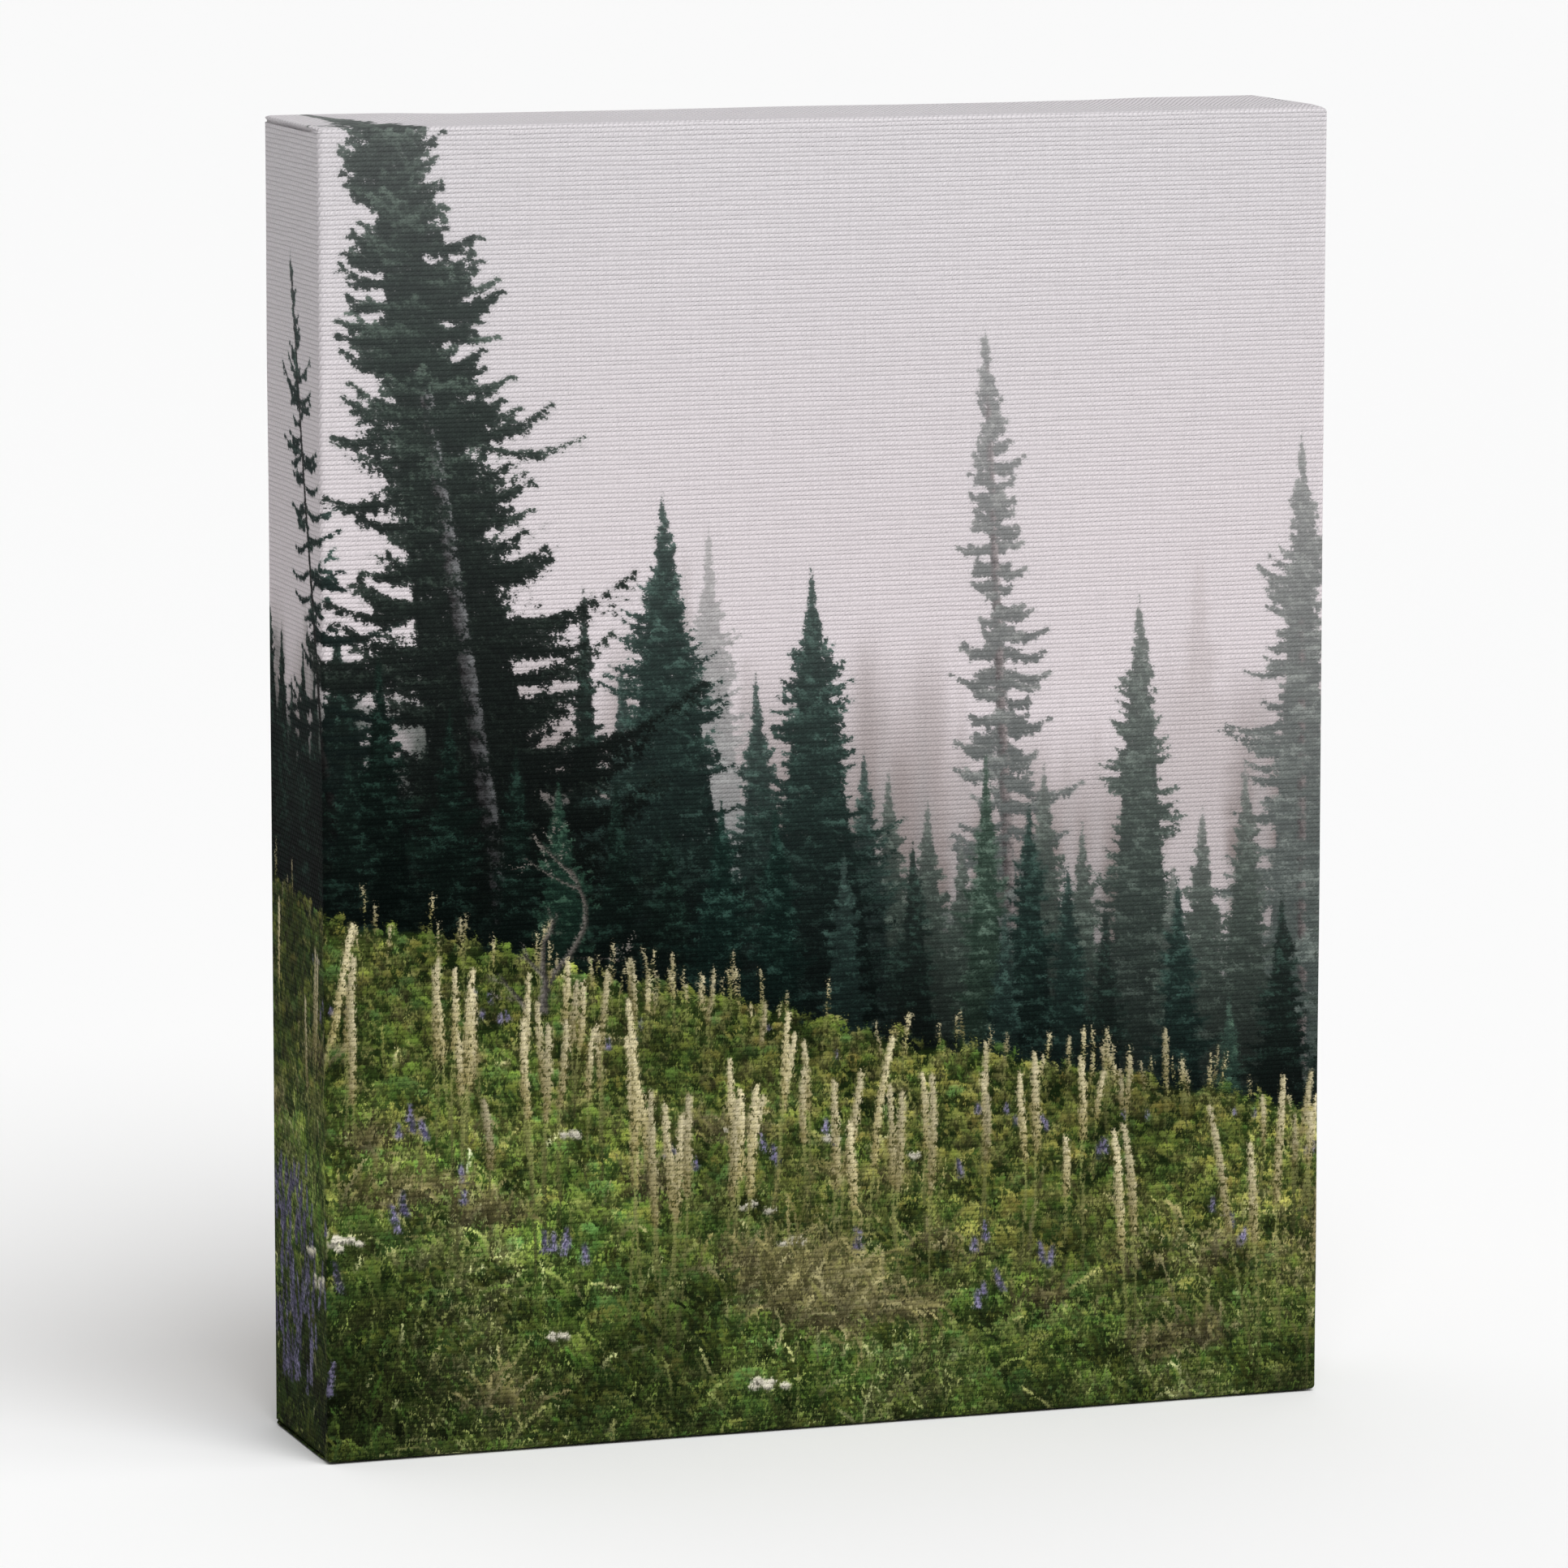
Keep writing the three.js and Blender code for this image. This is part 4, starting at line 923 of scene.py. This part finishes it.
def canvas_mesh(picture, staples):
    """One closed sheet: the printed outside, the raw inside and the cut edge between them."""
    W, H, D, R = W_MM, H_MM, D_MM, EDGE_R
    gx = np.linspace(-(W / 2 - R), W / 2 - R, NU + 1)
    gz = np.linspace(H - R, R, NV + 1)          # from the top down
    verts, flats = [], []

    # the front
    X, Z = np.meshgrid(gx, gz)
    edge = np.minimum(np.minimum(X + W / 2, W / 2 - X), np.minimum(Z, H - Z))
    sag = 0.16 * soft_face(X, Z) * smooth(1.0, 22.0, edge) + 0.22 * smooth(5.0, 45.0, edge)
    Y = -D / 2 + sag
    verts.append(np.stack([X, Y, Z], -1).reshape(-1, 3))
    flats.append(np.stack([X + W / 2, H - Z], -1).reshape(-1, 2))
    grid = np.arange((NU + 1) * (NV + 1)).reshape(NV + 1, NU + 1)
    faces = [np.stack([grid[:-1, :-1], grid[1:, :-1], grid[1:, 1:], grid[:-1, 1:]], -1).reshape(-1, 4)]
    tris = []

    # the ring round the front: top left to right, down the right, bottom right to left, up the left
    start = [np.concatenate([grid[0, :], np.repeat(grid[0, -1], 8), grid[:, -1], np.repeat(grid[-1, -1], 8),
                             grid[-1, ::-1], np.repeat(grid[-1, 0], 8), grid[::-1, 0], np.repeat(grid[0, 0], 8)])]
    total = len(start[0])
    path = stations()
    arc = np.radians(np.arange(1, 9) * 10.0)
    previous = start[0]
    base = len(verts[0])
    for (out, y, no, ny, run, part) in path:
        b = -out
        deep = float(y)
        if part == "side":
            bow = -0.22 * math.sin(math.pi * (deep - R) / (D - 2 * R))
        else:
            bow = 0.0
        w_fold = float(smooth(1.2, 7.5, deep))
        high = FOLD * w_fold
        if part == "turn":
            high = 0.42 * (1 - 0.93 * math.exp(-((b - 13.5) / 3.6) ** 2)) * (1 - 0.5 * float(smooth(10, 16, b)))
        elif part == "back":
            high = FOLD * no * no + 0.40 * ny * ny
        ring = []
        rflat = []

        def shrink(c, lim):
            # on the back the strips are mitred, so they get shorter inwards
            return c if b <= R else c * (lim - b) / (lim - R)

        def flap(along, sx):
            # the two ends of the top and bottom flaps lie on the folded layers
            reach = min(2.0 + 0.92 * max(deep - 1.0, 0.0), 33.0)
            if part == "turn":
                reach = 15.0
            return high * (1 - smooth(reach * 0.62, reach * 1.12 + 1.0, along))

        ripple = 0.10 if part == "side" else 0.04

        def strip(coords, lim, fixed, sign, horizontal):
            c = shrink(coords, lim)
            near = np.minimum(lim - b * (b > R) - R * (b <= R) - c, lim - b * (b > R) - R * (b <= R) + c)
            lift = flap(near, 1) if horizontal else np.zeros_like(c)
            if horizontal:
                lift = lift * (1 + 0.12 * seam_wave(c, deep + (30 if sign > 0 else 90)))
            wob = ripple * side_wave(c + (0 if horizontal else 400), deep * 1.5 + (0 if sign > 0 else 200)) + bow
            if part == "turn":
                # pulled down at the staples, slack between them
                pull = np.full(c.shape, 1e9)
                for (sx, sz) in staples:
                    if horizontal:
                        d2 = (c - sx) ** 2 + ((H - b if sign > 0 else b) - sz) ** 2
                    else:
                        d2 = (c + H / 2 - sz) ** 2 + ((W / 2 - b) * sign - sx) ** 2
                    pull = np.minimum(pull, d2)
                slack = 1 - np.exp(-pull / 60.0)
                wob = wob * 0.5 + 0.34 * slack * float(smooth(1.5, 7.0, b)) * (0.7 + 0.5 * np.abs(edge_wave(c, 3.0 * sign + (0 if horizontal else 50))))
                lift = lift * (1 - 0.9 * np.exp(-pull / 14.0))
            h = lift + wob
            cut = 0.0
            if part == "turn" and b > 13.5:
                cut = (b - 13.0) / 3.0 * (0.55 * edge_wave(c, 11.0 * sign + (0 if horizontal else 37)))
            o = out + h * no - cut
            yy = -D / 2 + deep + h * ny
            if horizontal:
                p = np.stack([c, yy + 0 * c, np.where(sign > 0, H, 0) + sign * o + 0 * c], -1)
                f = np.stack([c + W / 2, (R - run) if sign > 0 else (H - R + run) + 0 * c], -1) if sign < 0 else np.stack([c + W / 2, (R - run) + 0 * c], -1)
            else:
                p = np.stack([sign * (W / 2 + o) + 0 * c, yy + 0 * c, c], -1)
                f = np.stack([((W - R + run) if sign > 0 else (R - run)) + 0 * c, H - c], -1)
            return p, f

        def corner(sx, sz, reverse):
            """The eight points between two strips: from the flap, top or bottom, to the side; reversed where the ring runs the other way."""
            if b <= R:
                rho = R - b
                cx = W / 2 - R
                px = cx + rho * np.sin(arc)
                pz = rho * np.cos(arc)
                plain_in = W / 2 - px                  # in from the side's plane
                plain_down = R - pz                    # down from the flap's plane
                plain = np.stack([plain_in, np.zeros(8), plain_down], -1)
            else:
                plain = np.stack([np.full(8, b), np.zeros(8), np.full(8, b)], -1)
            t = -D / 2 + deep
            jog = 1 + 0.30 * seam_wave(deep * 1.4 + 17 * sx, 5.0 * sz)
            side_in = LIP_IN * jog
            side_down = np.where(LIP_DOWN < 0, LIP_DOWN * high, LIP_DOWN)
            side = np.stack([side_in + b, np.zeros(8), side_down + b], -1)
            ret_up = np.where(RET_UP > 0, RET_UP * high, RET_UP * min(1.0, high / 0.4))
            ret = np.stack([b + RET_IN * (b > 0), ret_up, b + RET_DOWN], -1)
            if part == "front":
                q = plain
            elif part == "side":
                q = plain * (1 - w_fold) + side * w_fold
            elif part == "back":
                s = ny * ny
                q = side * (1 - s) + ret * s
            else:
                q = ret
            p = np.stack([sx * (W / 2 - q[:, 0]), t + q[:, 1], np.where(sz > 0, H - q[:, 2], q[:, 2])], -1)
            # the first four points lie on the flap, the others on the side
            on_flap = np.arange(8) < 5
            fu = np.where(on_flap, np.where(sx > 0, W - R + 0.16 * np.arange(8), R - 0.16 * np.arange(8)), np.where(sx > 0, W - R + run, R - run))
            fv = np.where(on_flap, np.where(sz > 0, R - run, H - R + run), np.where(sz > 0, 0.16 * (np.arange(8) - 3), H - 0.16 * (np.arange(8) - 3)))
            f = np.stack([fu, fv], -1)
            return (p[::-1], f[::-1]) if reverse else (p, f)

        for q in (strip(gx, W / 2, 0, 1, True), corner(1, 1, False), strip_side(strip, gz, 1), corner(1, -1, True),
                  strip(gx[::-1], W / 2, 0, -1, True), corner(-1, -1, False), strip_side(strip, gz[::-1], -1), corner(-1, 1, True)):
            ring.append(q[0])
            rflat.append(q[1])
        ring = np.concatenate(ring)
        assert len(ring) == total, (len(ring), total)
        index = base + np.arange(total)
        base += total
        verts.append(ring)
        flats.append(np.concatenate(rflat))
        nxt = np.roll(np.arange(total), -1)
        quad = np.stack([previous, previous[nxt], index[nxt], index], -1)
        if previous is start[0]:
            same = quad[:, 0] == quad[:, 1]
            tris.append(quad[same][:, 1:])
            quad = quad[~same]
        faces.append(quad)
        previous = index
    outer_last = previous

    # the inside, one cell for every six
    coarse_x, coarse_z = gx[::STEP], gz[::STEP]
    cu, cv = len(coarse_x), len(coarse_z)
    X, Z = np.meshgrid(coarse_x, coarse_z)
    edge = np.minimum(np.minimum(X + W / 2, W / 2 - X), np.minimum(Z, H - Z))
    sag = 0.16 * soft_face(X, Z) * smooth(1.0, 22.0, edge) + 0.22 * smooth(5.0, 45.0, edge)
    verts.append(np.stack([X, -D / 2 + CLOTH + sag, Z], -1).reshape(-1, 3))
    flats.append(np.stack([X + W / 2, H - Z], -1).reshape(-1, 2))
    igrid = base + np.arange(cu * cv).reshape(cv, cu)
    base += cu * cv
    inside = [np.stack([igrid[:-1, :-1], igrid[:-1, 1:], igrid[1:, 1:], igrid[1:, :-1]], -1).reshape(-1, 4)]
    first = np.concatenate([igrid[0, :], np.repeat(igrid[0, -1], 2), igrid[:, -1], np.repeat(igrid[-1, -1], 2),
                            igrid[-1, ::-1], np.repeat(igrid[-1, 0], 2), igrid[::-1, 0], np.repeat(igrid[0, 0], 2)])
    itotal = len(first)
    iprev = first
    itris = []
    r = R - CLOTH
    ipath = []
    for a in (30, 60, 90):
        a = math.radians(a)
        ipath.append((R - r * math.sin(a), R - r * math.cos(a), R * a))
    ipath += [(CLOTH, D / 2, D / 2), (CLOTH, D - R, D - R)]
    for a in (30, 60, 90):
        a = math.radians(a)
        ipath.append((R - r * math.cos(a), D - R + r * math.sin(a), D - R + R * a))
    ipath += [(6.0, D - CLOTH, D + 4.5), (11.0, D - CLOTH, D + 9.5), (TURN, D - CLOTH, D + 14.5)]
    for (b, deep, run) in ipath:
        lim_w = W / 2 - R if b <= R else W / 2 - b
        sx = coarse_x * lim_w / (W / 2 - R)
        sz = H / 2 + (coarse_z - H / 2) * ((H / 2 - max(b, R)) / (H / 2 - R))
        rho = max(R - b, 0.0)
        cc = np.radians([30, 60])

        def icorner(kx, kz, rev):
            if b <= R:
                px = W / 2 - R + rho * np.sin(cc)
                pz = H / 2 - R + rho * np.cos(cc)
            else:
                px = np.full(2, W / 2 - b)
                pz = np.full(2, H / 2 - b)
            p = np.stack([kx * px, np.full(2, -D / 2 + deep), H / 2 + kz * pz], -1)
            return p[::-1] if rev else p
        parts = [np.stack([sx, 0 * sx - D / 2 + deep, 0 * sx + H - b], -1), icorner(1, 1, False),
                 np.stack([0 * sz + W / 2 - b, 0 * sz - D / 2 + deep, sz], -1), icorner(1, -1, True),
                 np.stack([sx[::-1], 0 * sx - D / 2 + deep, 0 * sx + b], -1), icorner(-1, -1, False),
                 np.stack([0 * sz - W / 2 + b, 0 * sz - D / 2 + deep, sz[::-1]], -1), icorner(-1, 1, True)]
        ring = np.concatenate(parts)
        assert len(ring) == itotal
        if b == TURN:
            # the two layers end together at the cut edge
            take = coarse_index(total)
            ring[:, 0] = verts_at(verts, outer_last[take])[:, 0]
            ring[:, 2] = verts_at(verts, outer_last[take])[:, 2]
        index = base + np.arange(itotal)
        base += itotal
        verts.append(ring)
        fl = np.stack([ring[:, 0] + W / 2, H - ring[:, 2]], -1)
        flats.append(fl)
        nxt = np.roll(np.arange(itotal), -1)
        quad = np.stack([iprev, index, index[nxt], iprev[nxt]], -1)
        if iprev is first:
            same = quad[:, 0] == quad[:, 3]
            itris.append(quad[same][:, :3])
            quad = quad[~same]
        inside.append(quad)
        iprev = index
    # the cut edge
    take = coarse_index(total)
    ends = []
    for k in range(itotal):
        a, c = take[k], take[(k + 1) % itotal]
        span = [int(outer_last[j % total]) for j in range(a, c + 1 if c > a else c + total + 1)]
        if len(span) < 2:
            continue
        ends.append(span_face(span, int(iprev[k]), int(iprev[(k + 1) % itotal])))
    return (np.concatenate(verts), np.concatenate(flats), np.concatenate(faces), np.concatenate(tris),
            np.concatenate(inside), np.concatenate(itris), ends)


def strip_side(strip, coords, sign):
    """A strip up or down a side, whose coordinate is counted from the middle of the height."""
    p, f = strip(coords - H_MM / 2, H_MM / 2, 0, sign, False)
    p = p.copy()
    f = f.copy()
    p[:, 2] += H_MM / 2
    f[:, 1] = H_MM - p[:, 2]
    return p, f


def coarse_index(total):
    """Which points of the outer ring stand at the inner ring's points."""
    out = []
    at = 0
    for count in (NU, NV, NU, NV):
        out += list(range(at, at + count + 1, STEP))
        at += count + 1
        out += [at + 2, at + 5]
        at += 8
    assert at == total
    return np.array(out)


def verts_at(chunks, index):
    return np.concatenate(chunks)[index]


def span_face(span, i0, i1):
    return span + [i1, i0]


def sample(picture, u, v):
    """The picture's colour at (u, v), bilinear, where picture has PX samples a millimetre."""
    x = np.clip((u + MARGIN) * PX - 0.5, 0, PU - 1.001)
    y = np.clip((v + MARGIN) * PX - 0.5, 0, PV - 1.001)
    xi, yi = x.astype(int), y.astype(int)
    fx, fy = (x - xi)[:, None], (y - yi)[:, None]
    return ((picture[yi, xi] * (1 - fx) + picture[yi, xi + 1] * fx) * (1 - fy)
            + (picture[yi + 1, xi] * (1 - fx) + picture[yi + 1, xi + 1] * fx) * fy)


def to_linear(c):
    c = np.clip(c, 0, 1)
    return np.where(c <= 0.04045, c / 12.92, ((c + 0.055) / 1.055) ** 2.4)


def two_inks(picture):
    """For each point the mean of the darker and of the lighter samples about it, and the lighter ones' share."""
    lum = picture @ np.array([0.30, 0.59, 0.11], np.float32)
    lighter = (lum > blur(lum, 1, 2)).astype(np.float32)[..., None]
    share = blur(lighter, 1, 1)
    high = blur(picture * lighter, 1, 1) / np.maximum(share, 1e-3)
    low = blur(picture * (1 - lighter), 1, 1) / np.maximum(1 - share, 1e-3)
    high = np.where(share < 0.05, low, high)
    low = np.where(share > 0.95, high, low)
    return low, high, share


def make_canvas(picture, staples, materials):
    verts, flats, faces, tris, inside, itris, ends = canvas_mesh(picture, staples)
    mesh = bpy.data.meshes.new("canvas_cloth")
    loops = np.concatenate([faces.ravel(), tris.ravel(), inside.ravel(), itris.ravel(), np.array([i for e in ends for i in e])])
    sizes = np.concatenate([np.full(len(faces), 4), np.full(len(tris), 3), np.full(len(inside), 4), np.full(len(itris), 3),
                            np.array([len(e) for e in ends])])
    starts = np.concatenate([[0], np.cumsum(sizes)[:-1]])
    mesh.vertices.add(len(verts))
    mesh.vertices.foreach_set("co", (verts / 1000.0).astype(np.float32).ravel())
    mesh.loops.add(len(loops))
    mesh.loops.foreach_set("vertex_index", loops.astype(np.int32))
    mesh.polygons.add(len(sizes))
    mesh.polygons.foreach_set("loop_start", starts.astype(np.int32))
    slot = np.concatenate([np.zeros(len(faces) + len(tris), np.int32), np.ones(len(inside) + len(itris) + len(ends), np.int32)])
    mesh.polygons.foreach_set("material_index", slot)
    mesh.update(calc_edges=True)
    mesh.validate(verbose=False)
    for m in materials:
        mesh.materials.append(m)
    mesh.polygons.foreach_set("use_smooth", np.ones(len(mesh.polygons), bool))
    flat = mesh.attributes.new("flat", "FLOAT_VECTOR", "POINT")
    flat.data.foreach_set("vector", np.concatenate([flats, np.zeros((len(flats), 1))], 1).astype(np.float32).ravel())
    low, high, share = two_inks(picture)
    share = sample(share, flats[:, 0], flats[:, 1])
    # past the print, on the back, the primed cloth is left white
    past = np.maximum(np.maximum(-flats[:, 0], flats[:, 0] - W_MM), np.maximum(-flats[:, 1], flats[:, 1] - H_MM))
    bare = smooth(D_MM + PRINT_TURN - 0.3, D_MM + PRINT_TURN + 0.3, past)[:, None]
    meadow_here = smooth(-3, 3, flats[:, 1] - ridge(flats[:, 0]))[:, None]
    for name, ink, fourth in (("print", high, share), ("print_low", low, meadow_here)):
        rgb = to_linear(sample(ink, flats[:, 0], flats[:, 1])) * PRINT_GAIN
        rgb = rgb * (1 - bare) + np.array([0.80, 0.79, 0.76]) * bare
        col = mesh.attributes.new(name, "FLOAT_COLOR", "POINT")
        col.data.foreach_set("color", np.concatenate([rgb, fourth], 1).astype(np.float32).ravel())
    obj = bpy.data.objects.new("canvas_cloth", mesh)
    bpy.context.scene.collection.objects.link(obj)
    return obj


# ---------------------------------------------------------------- the scene
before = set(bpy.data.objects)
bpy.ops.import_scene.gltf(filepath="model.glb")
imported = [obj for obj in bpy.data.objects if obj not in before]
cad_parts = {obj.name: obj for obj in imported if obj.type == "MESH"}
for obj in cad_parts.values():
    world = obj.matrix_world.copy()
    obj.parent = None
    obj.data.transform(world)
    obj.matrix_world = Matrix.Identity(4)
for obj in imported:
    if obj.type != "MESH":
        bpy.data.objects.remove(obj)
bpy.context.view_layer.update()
scene = bpy.context.scene
scene.view_settings.view_transform = "Standard"
scene.view_settings.look = "None"
scene.view_settings.exposure = 0.0
scene.view_settings.gamma = 1.0

# camera: the photograph's angle
AZ, EL = math.radians(-18.83), math.radians(8.25)
back = Vector((math.sin(AZ) * math.cos(EL), -math.cos(AZ) * math.cos(EL), math.sin(EL)))
target = Vector((-0.00992, -D_MM / 2000, 0.12659))
cam_data = bpy.data.cameras.new("camera")
cam = bpy.data.objects.new("camera", cam_data)
scene.collection.objects.link(cam)
cam.location = target + back * 1.5661
cam.rotation_euler = (-back).to_track_quat("-Z", "Y").to_euler()
cam_data.sensor_width = 36.0
cam_data.lens = 10056 / 1932 * 36.0
cam_data.clip_start = 0.01
cam_data.clip_end = 400.0
scene.camera = cam

# light
world = bpy.data.worlds.new("studio")
scene.world = world
world.use_nodes = True
world.node_tree.nodes["Background"].inputs[0].default_value = (1.0, 1.0, 1.0, 1.0)
world.node_tree.nodes["Background"].inputs[1].default_value = SKY


def sun(name, direction, strength, angle):
    d = bpy.data.lights.new(name, "SUN")
    d.energy = strength
    d.angle = math.radians(angle)
    o = bpy.data.objects.new(name, d)
    scene.collection.objects.link(o)
    o.rotation_euler = Vector(direction).to_track_quat("Z", "Y").to_euler()
    return o


sun("key", KEY_FROM, KEY, 46)
sun("fill", FILL_FROM, FILL, 60)
sun("graze", GRAZE_FROM, GRAZE, 40)

# floor
bm = bmesh.new()
bmesh.ops.create_grid(bm, x_segments=8, y_segments=8, size=150.0)
floor_mesh = bpy.data.meshes.new("floor")
bm.to_mesh(floor_mesh)
bm.free()
floor = bpy.data.objects.new("floor", floor_mesh)
floor.location.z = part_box("canvas_sheet")[0][2] - 0.0004
scene.collection.objects.link(floor)
m, n, bsdf = fresh("pale_floor")
bsdf.inputs["Base Color"].default_value = (FLOOR, FLOOR, FLOOR, 1)
bsdf.inputs["Roughness"].default_value = 0.9
bsdf.inputs["Specular IOR Level"].default_value = 0.1
floor_mesh.materials.append(m)

# the cloth
staple_nodes = [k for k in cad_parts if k.startswith("staple_")]
staple_at = []
for k in staple_nodes:
    lo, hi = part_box(k)
    staple_at.append((500.0 * (lo[0] + hi[0]), 500.0 * (lo[2] + hi[2])))
picture = paint_picture()
cloth = make_canvas(picture, staple_at, [printed_canvas(), raw_canvas()])
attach(cloth, "frame")
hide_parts("canvas_sheet")


def dress(node, material, bevel=None, segments=2, smooth_angle=None):
    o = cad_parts[node]
    o.data.materials.clear()
    o.data.materials.append(material)
    if bevel:
        b = o.modifiers.new("soft edges", "BEVEL")
        b.width = bevel
        b.segments = segments
        b.limit_method = "ANGLE"
        b.angle_limit = math.radians(28)
        b.harden_normals = False
    return o


PINE = ("e8cfa2", "dcb985", "b98a4e")
for k, (name, axis) in enumerate((("rail_top", 0), ("rail_bottom", 0), ("stile_left", 2), ("stile_right", 2))):
    lo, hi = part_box(name)
    c = 0.5 * (lo[2] + hi[2]) if axis == 0 else 0.5 * (lo[0] + hi[0])
    dress(name, wood("pine_" + name, axis, k + 1, *PINE, centre=c), 0.0004)
for k, name in enumerate(sorted(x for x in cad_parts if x.startswith("key_"))):
    axis = 0 if name.endswith("_rail") else 2
    lo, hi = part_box(name)
    c = 0.5 * (lo[2] + hi[2]) if axis == 0 else 0.5 * (lo[0] + hi[0])
    dress(name, wood("beech_" + name, axis, k + 1, "d8b184", "c99a68", "9d6b3c", centre=c, ring=0.0021, knots=False), 0.00025)
steel = metal("staple_wire", "b9bcc0", "8f9398", 0.30, spots="6d6a66")
zinc = metal("zinc_plate", "c9c5b4", "a8a293", 0.36, spots="8a8474")
nail = metal("nail_steel", "b4b6b9", "85888c", 0.26)
for name in staple_nodes:
    dress(name, steel, 0.00014)
dress("sawtooth_hanger", zinc, 0.00014)
for name in ("hanger_nail_left", "hanger_nail_right"):
    dress(name, nail, 0.00010)
